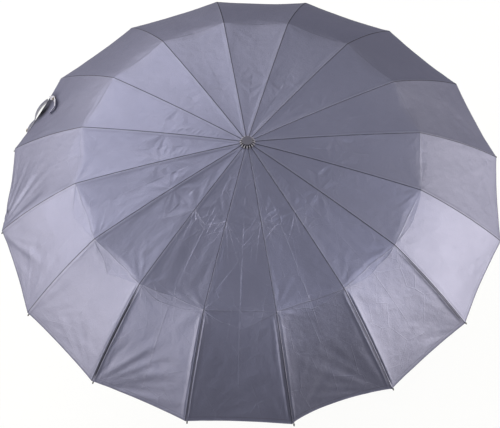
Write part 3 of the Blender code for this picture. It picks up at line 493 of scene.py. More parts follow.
def satin_cloth(name, dyed_low, dyed_high):
    """Satin with its seams, its pressed folds and the fine crumples round them."""
    finish = Finish(name)
    seam, middle = finish.mark("from_seam"), finish.mark("from_middle")
    down, pressed = finish.mark("down_rib"), finish.mark("pressed")
    off_seam = finish.maths("ABSOLUTE", seam)
    wobble = finish.between(finish.noise(14.0, 1.0), -0.0016, 0.0016)

    def line(distance, half_width, strength):
        """A thin ridge where a distance is nought."""
        off = finish.maths("ABSOLUTE", distance)
        return finish.times(finish.between(off, 1.0, 0.0, 0.0, half_width), strength)

    def stretch(start, end, ease):
        """1 from start to end down the rib, easing to 0 outside."""
        opening = finish.between(down, 0.0, 1.0, start - ease, start + ease)
        closing = finish.between(down, 1.0, 0.0, end - ease, end + ease)
        return finish.times(opening, closing)

    hem_start = inner_length + outer_length - HEM_TURN_IN
    patchy = finish.between(finish.noise(17.0, 3.0), 0.25, 1.1, 0.35, 0.65)
    crisp = finish.times(pressed, patchy)
    bent_middle = finish.maths("ADD", middle, wobble)
    middle_fold = line(bent_middle, 0.0009, finish.times(pressed, 0.34))
    fold_end = hem_start - FOLD_STOPS_BEFORE_HEM
    middle_fold = finish.times(middle_fold, stretch(FIRST_FOLD, fold_end, 0.008))
    wandering = finish.times(wobble, 1.6)
    first_fold = finish.maths("ADD", finish.mark("past_first"), wandering)
    first_fold = line(first_fold, 0.0011, finish.times(crisp, 0.6))
    kink_fold = finish.maths("ADD", finish.mark("past_fold"), wandering)
    kink_fold = line(kink_fold, 0.0012, finish.times(crisp, 0.8))
    ring_fold = line(finish.maths("ADD", finish.mark("past_kink"), wobble), 0.0013, crisp)
    near_first = finish.apart(down, FIRST_FOLD + 0.012)
    near_kink = finish.maths("ABSOLUTE", finish.mark("past_kink"))
    crumpled = finish.maths(
        "MAXIMUM",
        finish.between(near_first, 1.0, 0.0, 0.010, 0.060),
        finish.between(near_kink, 0.8, 0.12, 0.004, 0.045),
    )
    crumpled = finish.times(crumpled, crisp)

    def web(scale, width, strength, share):
        """Thin ridges that meet in stars, as a crushed cloth keeps them."""
        shifted = finish.add("ShaderNodeMix", {"data_type": "VECTOR"}, Factor=0.003)
        finish.join(shifted, "i4", finish.place)
        cloud = finish.add("ShaderNodeTexNoise", Vector=finish.place, Scale=26.0, Detail=2.0)
        finish.join(shifted, "i5", cloud.outputs["Color"])
        cells = finish.add(
            "ShaderNodeTexVoronoi",
            {"feature": "DISTANCE_TO_EDGE"},
            Vector=shifted.outputs[1],
            Scale=scale,
        )
        ridges = finish.between(cells.outputs["Distance"], 1.0, 0.0, 0.0, width)
        return finish.times(ridges, finish.times(share, strength))

    def rays(joint, reach):
        """Thin straight ridges that run out from a joint of the rib, most of them downwards."""
        away, angle = finish.mark(joint + "_away"), finish.mark(joint + "_angle")
        turn = finish.add("ShaderNodeCombineXYZ", X=finish.times(angle, 1.15))
        finish.join(turn, "Y", finish.times(finish.total(pressed, seam), 6.0))
        spread = finish.noise(2.0, 1.0, 0.5, turn.outputs[0])
        off = finish.apart(spread, 0.5)
        ridge = finish.between(finish.times(off, away), 1.0, 0.0, 0.0, 0.00045)
        near = finish.between(away, 1.0, 0.0, 0.25 * reach, reach)
        near = finish.times(near, finish.between(angle, 0.12, 0.9, -0.2, 0.6))
        return finish.times(finish.times(ridge, near), finish.times(pressed, 0.36))

    stars = web(*CLOSE_WEB, crumpled)
    faint = web(*WIDE_WEB, crisp)
    pulls = finish.total(rays("first", 0.120), rays("kink", 0.050))
    creases = finish.total(middle_fold, first_fold, kink_fold, ring_fold, stars, faint, pulls)

    cloudy = finish.noise(7.0, 3.0)
    colour = finish.mixed(cloudy, dyed_low, dyed_high)
    # The creases are painted paler, a painted highlight along their ridges.
    wear_and_highlight = finish.between(creases, 0.0, 0.12, 0.0, 1.2)
    colour = finish.mixed(wear_and_highlight, colour, CREASE_HIGHLIGHT)
    # A painted highlight along the seam allowance's turned edge, and painted shade along its far
    # edge.
    beside = finish.apart(seam, SEAM_TURNING)
    turning_edge_highlight = finish.between(beside, 0.12, 0.0, 0.0003, 0.0011)
    colour = finish.mixed(turning_edge_highlight, colour, TURNED_EDGE_HIGHLIGHT)
    sunk_edge_shade = finish.between(finish.apart(seam, SEAM_ALLOWANCE), 0.16, 0.0, 0.0, 0.0010)
    colour = finish.mixed(sunk_edge_shade, colour, SUNK_EDGE_SHADE)
    stitch_line = finish.between(off_seam, 0.86, 0.0, 0.0004, 0.0014)
    colour = finish.mixed(stitch_line, colour, STITCH_LINE)
    off_hem = finish.apart(down, hem_start)
    # Painted shade, darkening the cloth in the strap's hollow and in the folds beside some front
    # seams.
    colour = finish.mixed(finish.mark("painted_shade"), colour, DEEP_FOLD_SHADE)
    hem_line = finish.between(off_hem, 0.35, 0.0, 0.0002, 0.0009)
    colour = finish.mixed(hem_line, colour, HEM_STITCHES)

    rough = finish.between(finish.noise(26.0, 4.0), 0.48, 0.56)
    rough = finish.total(rough, finish.times(creases, -0.05))
    normal = finish.bump(creases, 0.0006)
    seam_dip = finish.between(off_seam, -1.0, 0.0, 0.0002, 0.0012)
    normal = finish.bump(seam_dip, 0.0005, 0.8, normal)
    normal = finish.bump(finish.noise(80.0, 5.0, 0.6), 0.0012, 0.5, normal)
    thread = 2 * math.pi / THREAD_PITCH
    warp = finish.maths("SINE", finish.times(seam, thread))
    weft = finish.maths("SINE", finish.times(down, thread))
    normal = finish.bump(finish.times(warp, weft), 0.00003, 0.5, normal)
    return finish.shade(
        Base_Color=colour,
        Roughness=rough,
        Metallic=0.9,
        Specular_Tint=(0.2, 0.2, 0.2, 1),
        Normal=normal,
    )


satin = satin_cloth("satin_cloth", DYE_DARK, DYE_LIGHT)
inner_rows = [index / INNER_ROWS for index in range(INNER_ROWS + 1)]
outer_rows = [1 + (index / OUTER_ROWS) ** 1.25 for index in range(OUTER_ROWS + 1)]
for rib in range(RIB_COUNT):
    number = f"{rib + 1:02d}"
    for part, rows, body in (
        ("inner", inner_rows, "inner_rib_"),
        ("outer", outer_rows, "outer_rib_"),
    ):
        name = f"canopy_{part}_{number}"
        panel = placed(name, cloth_panel(rib, rows, part == "outer", name))
        panel.data.materials.append(satin)
        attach(panel, body + number)
        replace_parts(panel, "canopy")
        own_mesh(panel)


# Closing strap
# A woven band, sewn to the hem by one end, which stands off it in a bow. Its free end has one
# half of a press stud. A narrower tab with the other half lies curved on the cloth.

STRAP_GORE = 6
STRAP_SEWN, STRAP_TOUCH, STRAP_END = 0.305, 0.60, 0.75
STRAP_WIDTH, STRAP_THICKNESS = 0.014, 0.0012
STRAP_BOW, STRAP_END_BOW = 0.0075, 0.0030
STRAP_CLEARANCE = 0.0010
STRAP_STEPS = 64
TAB_WIDTH, TAB_STEPS = 0.0102, 22
TAB_SPOTS = ((0.300, 1.965), (0.330, 1.850), (0.400, 1.765), (0.500, 1.700), (0.575, 1.730))
CROSS_RIB_PITCH, STITCH_PITCH, STITCH_INSET = 0.0008, 0.0026, 0.0022
WEAVE_DARK, WEAVE_LIGHT = (0.36, 0.355, 0.46, 1), (0.44, 0.43, 0.55, 1)
STITCH_THREAD = (0.50, 0.49, 0.60, 1)
GUNMETAL, WORN_BRASS = (0.05, 0.045, 0.04, 1), (0.30, 0.21, 0.10, 1)
STUD_RADIUS, STUD_HEIGHT, STUD_SIDES = 0.0044, 0.0016, 20


def skin_rings(work, rings):
    """Join a row of rings side by side, and close it at both ends."""
    for near, far in zip(rings, rings[1:]):
        for index in range(len(near)):
            after = (index + 1) % len(near)
            work.faces.new((near[index], near[after], far[after], far[index]))
    work.faces.new(reversed(rings[0]))
    work.faces.new(rings[-1])


def band(line, width, thickness, name):
    """A flat band with rounded edges along places that each come with their way up."""
    work = bmesh.new()
    from_middle = work.verts.layers.float.new("from_middle")
    along_band = work.verts.layers.float.new("along_band")
    half, edge = width / 2, thickness / 2
    outline = [(-half, 0), (-half + edge, edge), (-half / 2, edge), (0, edge * 1.1)]
    outline += [(half / 2, edge), (half - edge, edge), (half, 0)]
    outline += [(half - edge, -edge), (0, -edge), (-half + edge, -edge)]
    rings, length = [], 0.0
    for index, (spot, upright) in enumerate(line):
        before, after = line[max(index - 1, 0)][0], line[min(index + 1, len(line) - 1)][0]
        ahead = (after - before).normalized()
        upright = (upright - ahead * upright.dot(ahead)).normalized()
        outward = ahead.cross(upright)
        if index:
            length += (spot - line[index - 1][0]).length
        ring = []
        for rise, side in outline:
            vert = work.verts.new(spot + upright * rise + outward * side)
            vert[from_middle], vert[along_band] = abs(rise), length
            ring.append(vert)
        rings.append(ring)
    skin_rings(work, rings)
    bmesh.ops.recalc_face_normals(work, faces=work.faces)
    return smooth_mesh(work, name), length


def turned(profile, sides, name, sharp_angle=40):
    """Turn an outline of (radius, height) points about Z; radius 0 closes it on the axis."""
    work = bmesh.new()
    rings = []
    for radius, height in profile:
        if radius == 0:
            rings.append([work.verts.new((0, 0, height))])
            continue
        angles = [2 * math.pi * index / sides for index in range(sides)]
        spots = [(radius * math.cos(a), radius * math.sin(a), height) for a in angles]
        rings.append([work.verts.new(spot) for spot in spots])
    for near, far in zip(rings, rings[1:] + rings[:1]):
        if len(near) == 1 and len(far) == 1:
            continue
        for index in range(sides):
            after = (index + 1) % sides
            corners = [near[index % len(near)], near[after % len(near)]]
            corners += [far[after % len(far)], far[index % len(far)]]
            work.faces.new(list(dict.fromkeys(corners)))
    bmesh.ops.recalc_face_normals(work, faces=work.faces)
    return smooth_mesh(work, name, sharp_angle)


def linked(name, mesh, material, body):
    """Put a piece in the scene, in its finish, on the body that it moves with."""
    piece = placed(name, mesh)
    mesh.materials.clear()
    mesh.materials.append(material)
    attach(piece, body)
    return piece


def woven_band():
    """Lavender grosgrain: fine cross ribs and a row of stitches along each edge."""
    finish = Finish("strap_weave")
    middle, along = finish.mark("from_middle"), finish.mark("along_band")
    ribs = finish.maths("SINE", finish.times(along, 2 * math.pi / CROSS_RIB_PITCH))
    edge = finish.apart(middle, STRAP_WIDTH / 2 - STITCH_INSET)
    row = finish.between(edge, 1.0, 0.0, 0.0002, 0.0006)
    beat = finish.maths("SINE", finish.times(along, 2 * math.pi / STITCH_PITCH))
    stitch = finish.times(row, finish.between(beat, 0.0, 1.0, -0.3, 0.1))
    colour = finish.mixed(finish.noise(60.0, 3.0), WEAVE_DARK, WEAVE_LIGHT)
    colour = finish.mixed(finish.times(stitch, 0.6), colour, STITCH_THREAD)
    normal = finish.bump(ribs, 0.00008, 0.7)
    normal = finish.bump(stitch, 0.0003, 1.0, normal)
    rough = finish.between(finish.noise(140.0, 2.0), 0.55, 0.68)
    return finish.shade(Base_Color=colour, Roughness=rough, Sheen_Weight=0.3, Normal=normal)


def stud_metal():
    """Small pressed stud, gunmetal rubbed through to brass in patches."""
    finish = Finish("stud_metal")
    wear_and_highlight = finish.between(finish.noise(420.0, 3.0), 0.0, 1.0, 0.45, 0.60)
    colour = finish.mixed(wear_and_highlight, GUNMETAL, WORN_BRASS)
    rough = finish.between(finish.noise(300.0, 2.0), 0.28, 0.45)
    return finish.shade(Base_Color=colour, Roughness=rough, Metallic=1.0)


strap_middle = (STRAP_GORE + 0.5) * RIB_PITCH
strap_outward = Vector((math.cos(strap_middle), math.sin(strap_middle), 0))
strap_up = Vector((0, 0, 1))


def on_hem(share):
    return cloth_point(STRAP_GORE, share, 2.0)[0]


strap_line = []
for step in range(STRAP_STEPS + 1):
    share = STRAP_SEWN + (STRAP_END - STRAP_SEWN) * step / STRAP_STEPS
    if share < STRAP_TOUCH:
        run = (share - STRAP_SEWN) / (STRAP_TOUCH - STRAP_SEWN)
        stand_off = STRAP_BOW * math.sin(math.pi * run) ** 0.75
    else:
        run = (share - STRAP_TOUCH) / (STRAP_END - STRAP_TOUCH)
        stand_off = STRAP_END_BOW * math.sin(math.pi * run * 0.8)
    lean = 0.25 * math.sin(2.4 * run + 0.5) - 0.30
    spot = on_hem(share) + strap_outward * (stand_off + STRAP_CLEARANCE + STRAP_THICKNESS / 2)
    spot.z -= 0.002 + 0.002 * run
    strap_line.append((spot, (strap_up + strap_outward * lean).normalized()))
weave = woven_band()
strap_mesh, strap_length = band(strap_line, STRAP_WIDTH, STRAP_THICKNESS, "closing_strap_band")

tab_line = []
for step in range(TAB_STEPS + 1):
    place = step / TAB_STEPS * (len(TAB_SPOTS) - 1)
    index = min(int(place), len(TAB_SPOTS) - 2)
    part = place - index
    share = TAB_SPOTS[index][0] * (1 - part) + TAB_SPOTS[index + 1][0] * part
    down = TAB_SPOTS[index][1] * (1 - part) + TAB_SPOTS[index + 1][1] * part
    lifted = 0.0040 + 0.0030 * math.sin(math.pi * step / TAB_STEPS)
    under = cloth_point(STRAP_GORE, share, down)[0]
    inward = (cloth_point(STRAP_GORE, share, down - 0.03)[0] - under).normalized()
    tab_line.append((under + strap_up * lifted, (inward * 0.6 + strap_up * 0.8).normalized()))
tab_mesh, tab_length = band(tab_line, TAB_WIDTH, STRAP_THICKNESS, "closing_strap_tab")

stud_profile = [(0, 0), (STUD_RADIUS, 0), (STUD_RADIUS, STUD_HEIGHT * 0.5)]
stud_profile += [(STUD_RADIUS * 0.86, STUD_HEIGHT), (STUD_RADIUS * 0.62, STUD_HEIGHT * 0.9)]
stud_profile += [(STUD_RADIUS * 0.50, STUD_HEIGHT * 0.45), (0, STUD_HEIGHT * 0.40)]
strap_pieces = [
    linked("closing_strap_band", strap_mesh, weave, "outer_rib_07"),
    linked("closing_strap_tab", tab_mesh, weave, "outer_rib_07"),
]
metal = stud_metal()
strap_tip, tab_middle = strap_line[-4][0], tab_line[7][0]
on_strap = strap_tip + strap_outward * STRAP_THICKNESS / 2
on_tab = tab_middle + strap_up * STRAP_THICKNESS * 0.4
for name, spot, facing in (
    ("closing_strap_stud", on_strap, strap_outward),
    ("closing_strap_socket", on_tab, strap_up + strap_outward * 0.6),
):
    stud = turned(stud_profile, STUD_SIDES, name)
    stud.transform(Matrix.Translation(spot) @ facing.to_track_quat("Z", "Y").to_matrix().to_4x4())
    strap_pieces.append(linked(name, stud, metal, "outer_rib_07"))
for piece in strap_pieces:
    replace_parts(piece, "closing_strap")
    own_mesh(piece)


# Ferrule cap
# A moulded grey cap on the shaft's top that clamps the cloth: a flat disc over sixteen teeth,
# with a dark slot between each two, one for each rib.

CAP_SIDES = 96
CAP_DISC_RADIUS, CAP_DISC_DEPTH = 0.0104, 0.0022
CAP_TOOTH_END, CAP_TOOTH_EDGE = 0.0160, 0.0014
CAP_SLOT_WIDTH, CAP_SHARP_ANGLE = 0.0029, 45
CAP_CORE_RADIUS, CAP_CORE_EDGE = 0.0134, 0.0006
CAP_GREY = (0.072, 0.068, 0.100, 1), (0.094, 0.089, 0.126, 1)
TEETH_GREY = (0.200, 0.190, 0.250, 1), (0.270, 0.258, 0.330, 1)
CORE_DARK = (0.002, 0.002, 0.003, 1), (0.004, 0.004, 0.005, 1)
# The disc's rounded rim and the fine groove inside it: how far in, and how far down.
CAP_RIM = (
    (0, 0.0007), (0.0002, 0.0003), (0.0006, 0.0001), (0.0012, 0.00005),
    (0.0014, 0.00020), (0.0020, 0.00020), (0.0022, 0),
)
cap_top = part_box("ferrule_cap")[1].z
cap_foot = rib_line((CAP_TOOTH_END - CAP_HOLE_RADIUS) / (KINK_RADIUS - CAP_HOLE_RADIUS)).y + 0.0004


def cap_teeth():
    """Sixteen sloping wedges under the disc's rim, each with rounded shoulders."""
    work = bmesh.new()
    shoulder = cap_top - CAP_DISC_DEPTH
    for rib in range(RIB_COUNT):
        middle = (rib + 0.5) * RIB_PITCH
        sections = []
        for radius, top, shrink in (
            (CAP_DISC_RADIUS * 0.80, shoulder + 0.0004, 0.0),
            (CAP_DISC_RADIUS, shoulder - 0.0002, 0.0),
            (CAP_TOOTH_END * 0.85, (shoulder + cap_foot + CAP_TOOTH_EDGE) / 2 + 0.0004, 0.0),
            (CAP_TOOTH_END * 0.97, cap_foot + CAP_TOOTH_EDGE, 0.0002),
            (CAP_TOOTH_END, cap_foot + CAP_TOOTH_EDGE * 0.5, 0.0006),
        ):
            half = radius * math.sin(RIB_PITCH / 2) - CAP_SLOT_WIDTH / 2 - shrink
            along = Vector((math.cos(middle), math.sin(middle), 0))
            aside = Vector((-along.y, along.x, 0))
            low, crown = cap_foot, 0.0003
            ring = []
            left = ((-1, low), (-1, top - crown), (-0.7, top))
            right = ((0.7, top), (1, top - crown), (1, low))
            for side, height in left + right:
                spot = along * radius + aside * half * side
                ring.append(work.verts.new((spot.x, spot.y, height)))
            sections.append(ring)
        skin_rings(work, sections)
    bmesh.ops.recalc_face_normals(work, faces=work.faces)
    return smooth_mesh(work, "cap_teeth", CAP_SHARP_ANGLE)


def moulded(name, low, high, rough_low, rough_high, grain=900.0, grain_depth=0.00004):
    """Moulded plastic: a cloudy colour, a fine spark grain and small scuffs."""
    finish = Finish(name)
    cloud = finish.noise(90.0, 3.0)
    scuff = finish.between(finish.noise(260.0, 5.0, 0.65), 0.0, 1.0, 0.60, 0.72)
    colour = finish.mixed(cloud, low, high)
    paler = tuple(min(1.0, channel * 1.7 + 0.01) for channel in high[:3]) + (1,)
    colour = finish.mixed(finish.times(scuff, 0.5), colour, paler)
    rough = finish.between(finish.noise(180.0, 3.0), rough_low, rough_high)
    rough = finish.total(rough, finish.times(scuff, 0.06))
    normal = finish.bump(finish.noise(grain, 2.0), grain_depth, 0.7)
    return finish.shade(Base_Color=colour, Roughness=rough, Normal=normal)


cap_paint = moulded("cap_plastic", *CAP_GREY, 0.42, 0.55)
teeth_paint = moulded("cap_teeth_plastic", *TEETH_GREY, 0.34, 0.46)
# The core under the slots is near black: painted shade, standing in for the dark inside the deep
# slots.
shadow_paint = moulded("cap_core_plastic", *CORE_DARK, 0.8, 0.9)
disc_low = cap_top - CAP_DISC_DEPTH
disc_profile = [(0, disc_low), (CAP_DISC_RADIUS * 0.985, disc_low)]
disc_profile += [(CAP_DISC_RADIUS, disc_low + 0.0003)]
disc_profile += [(CAP_DISC_RADIUS - inward, cap_top - down) for inward, down in CAP_RIM]
disc_profile += [(0, cap_top)]
core_profile = [(0, cap_foot), (CAP_CORE_RADIUS, cap_foot)]
core_profile += [(CAP_CORE_RADIUS, cap_foot + CAP_CORE_EDGE)]
core_profile += [(CAP_DISC_RADIUS, disc_low - CAP_CORE_EDGE)]
core_profile += [(CAP_DISC_RADIUS * 0.8, disc_low), (0, disc_low)]
for name, mesh, paint in (
    ("cap_disc", turned(disc_profile, CAP_SIDES, "cap_disc"), cap_paint),
    ("cap_teeth", cap_teeth(), teeth_paint),
    ("cap_core", turned(core_profile, CAP_SIDES // 2, "cap_core"), shadow_paint),
):
    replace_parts(linked(name, mesh, paint, "upper_shaft"), "ferrule_cap")


# Crown notch
# The black moulded ring on the tube's top, slotted for the ribs; a steel wire threads
# through their eyes. It stays as modelled, in its own plastic.


def painted(nodes, material):
    """Give modelled pieces their finish."""
    for node in nodes:
        mesh = bpy.data.objects[node].data
        mesh.materials.clear()
        mesh.materials.append(material)


CROWN_BLACK = (0.020, 0.020, 0.022, 1), (0.034, 0.034, 0.036, 1)
painted(["crown_notch"], moulded("crown_plastic", *CROWN_BLACK, 0.38, 0.52))


# Inner ribs
# Channels pressed from thin steel strip, open below, with an eye at the crown and pins for
# the stretcher and the outer rib. They are plated, with fine lines in the plating.

TARNISH = (0.22, 0.19, 0.16, 1)


def plated_steel(name, along, tint=1.0, worn_edge=0.10):
    """Bright plated steel with fine lines along it and a little tarnish."""
    finish = Finish(name)
    streaks = finish.noise(1.0, 4.0, 0.6, finish.stretched(*along))
    tarnish = finish.between(finish.noise(45.0, 5.0, 0.6), 0.0, 1.0, 0.48, 0.75)
    low = (0.42 * tint, 0.42 * tint, 0.44 * tint, 1)
    high = (0.60 * tint, 0.60 * tint, 0.62 * tint, 1)
    colour = finish.mixed(streaks, low, high)
    colour = finish.mixed(finish.times(tarnish, worn_edge), colour, TARNISH)
    rough = finish.between(streaks, 0.24, 0.40)
    rough = finish.total(rough, finish.times(tarnish, 0.12))
    normal = finish.bump(streaks, 0.00004, 0.6)
    return finish.shade(Base_Color=colour, Roughness=rough, Metallic=1.0, Normal=normal)


rib_numbers = [f"{rib + 1:02d}" for rib in range(RIB_COUNT)]
rib_steel = plated_steel("rib_plating", (220, 220, 900), 0.85, 0.35)
painted(["inner_rib_" + number for number in rib_numbers], rib_steel)


# Outer ribs
# Drawn rods, dipped black, bowed down to the hem. Each has an eye at the kink and ends in a
# small crimped tip, which is sewn into the hem's edge and takes the same dip.

ENAMEL_DARK, ENAMEL_LIGHT = (0.016, 0.016, 0.018, 1), (0.030, 0.030, 0.033, 1)
CHIPPED_STEEL = (0.26, 0.26, 0.28, 1)
rod = Finish("rod_enamel")
chipped = rod.between(rod.noise(380.0, 4.0, 0.6), 0.0, 1.0, 0.64, 0.70)
rod_colour = rod.mixed(rod.noise(70.0, 3.0), ENAMEL_DARK, ENAMEL_LIGHT)
rod.shade(
    Base_Color=rod.mixed(rod.times(chipped, 0.6), rod_colour, CHIPPED_STEEL),
    Roughness=rod.between(rod.noise(120.0, 3.0), 0.26, 0.42),
    Normal=rod.bump(rod.noise(700.0, 2.0), 0.00003, 0.6),
)
painted(["outer_rib_" + number for number in rib_numbers], rod.material)


# Stretchers
# Narrower plated channels from the runner to the middle of the inner ribs. They push the
# ribs up and fold into them.

stretcher_steel = plated_steel("stretcher_plating", (260, 260, 500), 0.95, 0.30)
painted(["stretcher_" + number for number in rib_numbers], stretcher_steel)


# Runner
# The black moulded slider on the upper tube: a slotted ring with its wire for the
# stretchers' feet, a neck above and a sleeve with a cuff below.

RUNNER_BLACK = (0.018, 0.018, 0.020, 1), (0.030, 0.030, 0.032, 1)
painted(["runner"], moulded("runner_plastic", *RUNNER_BLACK, 0.30, 0.46))


# Tubes
# Two drawn steel tubes, plated and polished, which slide into each other. The upper one
# carries the runner; the lower one is fixed in the grip. Wipe marks run round them.

TUBE_SIDES = 64
UPPER_TUBE_RADIUS, LOWER_TUBE_RADIUS, TUBE_WALL = 0.0065, 0.0056, 0.0006
TUBE_EDGE = 0.0002
tube_steel = plated_steel("tube_plating", (60, 60, 420), 1.05, 0.25)
for name, radius, body in (
    ("upper_tube", UPPER_TUBE_RADIUS, "upper_shaft"),
    ("lower_tube", LOWER_TUBE_RADIUS, "handle"),
):
    bottom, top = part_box(name)[0].z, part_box(name)[1].z
    bore = radius - TUBE_WALL
    profile = [(bore, bottom + TUBE_EDGE), (bore + TUBE_EDGE, bottom), (radius - TUBE_EDGE, bottom)]
    profile += [(radius, bottom + TUBE_EDGE), (radius, top - TUBE_EDGE), (radius - TUBE_EDGE, top)]
    profile += [(bore + TUBE_EDGE, top), (bore, top - TUBE_EDGE)]
    tube_mesh = turned(profile, TUBE_SIDES, name)
    tube = linked(name + "_drawn", tube_mesh, tube_steel, body)
    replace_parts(tube, name)


# Springs
# The long coil inside the tubes, which throws the shaft out and shortens as it slides in,
# and the small one behind the button. Both are wound from bright steel wire.

spring_steel = plated_steel("spring_wire", (700, 700, 700), 0.8, 0.2)


def squeezed_coil(name, body):
    """Finish a modelled spring in bright wire and put it on its body."""
    modelled = bpy.data.objects[name]
    mesh = modelled.data.copy()
    mesh.transform(modelled.matrix_world)
    coil = linked(name + "_coil", mesh, spring_steel, body)
    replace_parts(coil, name)
    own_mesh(coil)


squeezed_coil("opening_spring", "upper_shaft")
squeezed_coil("button_spring", "handle")


# Grip
# A moulded grip with a soft black skin, waisted for the hand, with a ring let in at its
# shoulder, a shallow pocket round the button, and a parting line down each side.

GRIP_LENGTH = 0.085
GRIP_HEEL_RADIUS, GRIP_WAIST_RADIUS, GRIP_SHOULDER_RADIUS = 0.0180, 0.0160, 0.0185
GRIP_NECK_RADIUS, GRIP_EDGE = 0.0120, 0.0020
GRIP_SIDES, GRIP_STEPS = 112, 120
GRIP_SOCKET_RADIUS, GRIP_SOCKET_DEPTH = 0.0059, 0.030
GRIP_FLOOR_RADIUS, GRIP_FLOOR_RISE = 0.0153, 0.0032
BUTTON_HEIGHT, BUTTON_RADIUS = 0.016, 0.0060
POCKET_RADIUS, POCKET_DEPTH = 0.0088, 0.0016
RING_HEIGHT, RING_HALF, RING_DEPTH = 0.0310, 0.0009, 0.0006
SKIN_DARK, SKIN_HANDLED = (0.014, 0.014, 0.016, 1), (0.026, 0.026, 0.028, 1)
grip_top, grip_bottom = GRIP_LENGTH / 2, -GRIP_LENGTH / 2
neck_drop = GRIP_SHOULDER_RADIUS - GRIP_NECK_RADIUS


def grip_radius(height):
    """Half the grip's width at a height, from its heel up to its neck."""
    share = (height - grip_bottom - GRIP_EDGE) / (GRIP_LENGTH - neck_drop - GRIP_EDGE)
    share = min(max(share, 0.0), 1.0)
    straight = GRIP_HEEL_RADIUS + (GRIP_SHOULDER_RADIUS - GRIP_HEEL_RADIUS) * share
    radius = straight + (GRIP_WAIST_RADIUS - straight) * math.sin(math.pi * share) ** 2
    heel = min((height - grip_bottom) / GRIP_EDGE, 1.0)
    radius -= GRIP_EDGE * (1 - math.sqrt(max(0.0, 1 - (1 - heel) ** 2)))
    past_shoulder = max(height - (grip_top - neck_drop), 0.0) / neck_drop
    radius -= neck_drop * (1 - math.sqrt(max(0.0, 1 - past_shoulder ** 2)))
    radius -= RING_DEPTH * hump(height, RING_HEIGHT, RING_HALF) ** 2
    return radius


grip_floor, socket_floor = grip_bottom + GRIP_FLOOR_RISE, grip_top - GRIP_SOCKET_DEPTH
grip_profile = [(0, grip_floor), (GRIP_FLOOR_RADIUS, grip_floor)]
grip_profile += [(GRIP_FLOOR_RADIUS, grip_bottom + 0.0001)]
grip_profile += [(GRIP_FLOOR_RADIUS + 0.0002, grip_bottom)]
for step in range(GRIP_STEPS + 1):
    height = grip_bottom + (GRIP_LENGTH - 0.00005) * step / GRIP_STEPS
    grip_profile.append((grip_radius(height), height))
for off in (-RING_HALF, -0.0003, 0.0003, RING_HALF):
    grip_profile.append((grip_radius(RING_HEIGHT + off), RING_HEIGHT + off))
outside = sorted(grip_profile[4:], key=lambda spot: spot[1])
grip_profile = grip_profile[:4] + outside
grip_profile += [(GRIP_NECK_RADIUS - 0.0008, grip_top), (GRIP_SOCKET_RADIUS, grip_top)]
grip_profile += [(GRIP_SOCKET_RADIUS, socket_floor), (0, socket_floor)]
grip_mesh = turned(grip_profile, GRIP_SIDES, "grip_skin", 50)
pocket_floor, pocket_rim = POCKET_RADIUS * 0.86, POCKET_RADIUS * 1.25
for vert in grip_mesh.vertices:
    spot = vert.co
    from_button = math.hypot(spot.x, spot.z - BUTTON_HEIGHT)
    if spot.y < -0.010 and from_button < pocket_rim:
        spot.y += POCKET_DEPTH * (1 - eased(from_button, pocket_floor, pocket_rim))
skin = Finish("grip_skin")
parting = skin.add("ShaderNodeSeparateXYZ", Vector=skin.place)
seam_line = skin.between(skin.maths("ABSOLUTE", parting.outputs["Y"]), 1.0, 0.0, 0.0001, 0.0004)
handled = skin.between(skin.noise(55.0, 4.0), 0.0, 1.0, 0.40, 0.70)
skin.shade(
    Base_Color=skin.mixed(handled, SKIN_DARK, SKIN_HANDLED),
    Roughness=skin.between(handled, 0.50, 0.66),
    Specular_IOR_Level=0.4,
    Normal=skin.bump(seam_line, 0.0002, 0.8, skin.bump(skin.noise(1500.0, 2.0), 0.00006, 0.8)),
)
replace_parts(linked("grip_skin", grip_mesh, skin.material, "handle"), "grip")


# Grip end cap
# A moulded disc pressed into the heel, with shallow rings turned into its face.

END_CAP_RADIUS, END_CAP_DEPTH, END_CAP_EDGE = 0.0150, 0.0030, 0.0006
FACE_RINGS, RING_STEP, GROOVE = (0.0115, 0.0085, 0.0055), 0.0005, 0.00025
END_CAP_SIDES = 72
END_CAP_BLACK = (0.020, 0.020, 0.022, 1), (0.032, 0.032, 0.035, 1)
end_profile = [(0, grip_bottom + END_CAP_DEPTH), (END_CAP_RADIUS, grip_bottom + END_CAP_DEPTH)]
end_profile += [(END_CAP_RADIUS, grip_bottom + END_CAP_EDGE)]
end_profile += [(END_CAP_RADIUS - END_CAP_EDGE, grip_bottom)]
for ring in FACE_RINGS:
    end_profile += [(ring + RING_STEP, grip_bottom), (ring, grip_bottom + GROOVE)]
    end_profile += [(ring - RING_STEP, grip_bottom)]
end_profile.append((0, grip_bottom))
end_paint = moulded("end_cap_plastic", *END_CAP_BLACK, 0.26, 0.40)
end_mesh = turned(end_profile, END_CAP_SIDES, "end_cap", 20)
end_cap = linked("end_cap_turned", end_mesh, end_paint, "handle")
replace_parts(end_cap, "grip_end_cap")


# Push button
# The grey button of the opener, domed, with a low ring round its face; a flange behind the
# pocket's lip keeps it in.

button_low, button_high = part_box("push_button")
face_reach, back_reach = -button_low.y, -button_high.y
BUTTON_FLANGE_RADIUS, BUTTON_FLANGE_DEPTH = 0.0072, 0.0012
BUTTON_SIDES, BUTTON_DOME = 64, 0.0004
BUTTON_GREY = (0.10, 0.10, 0.11, 1), (0.14, 0.14, 0.15, 1)
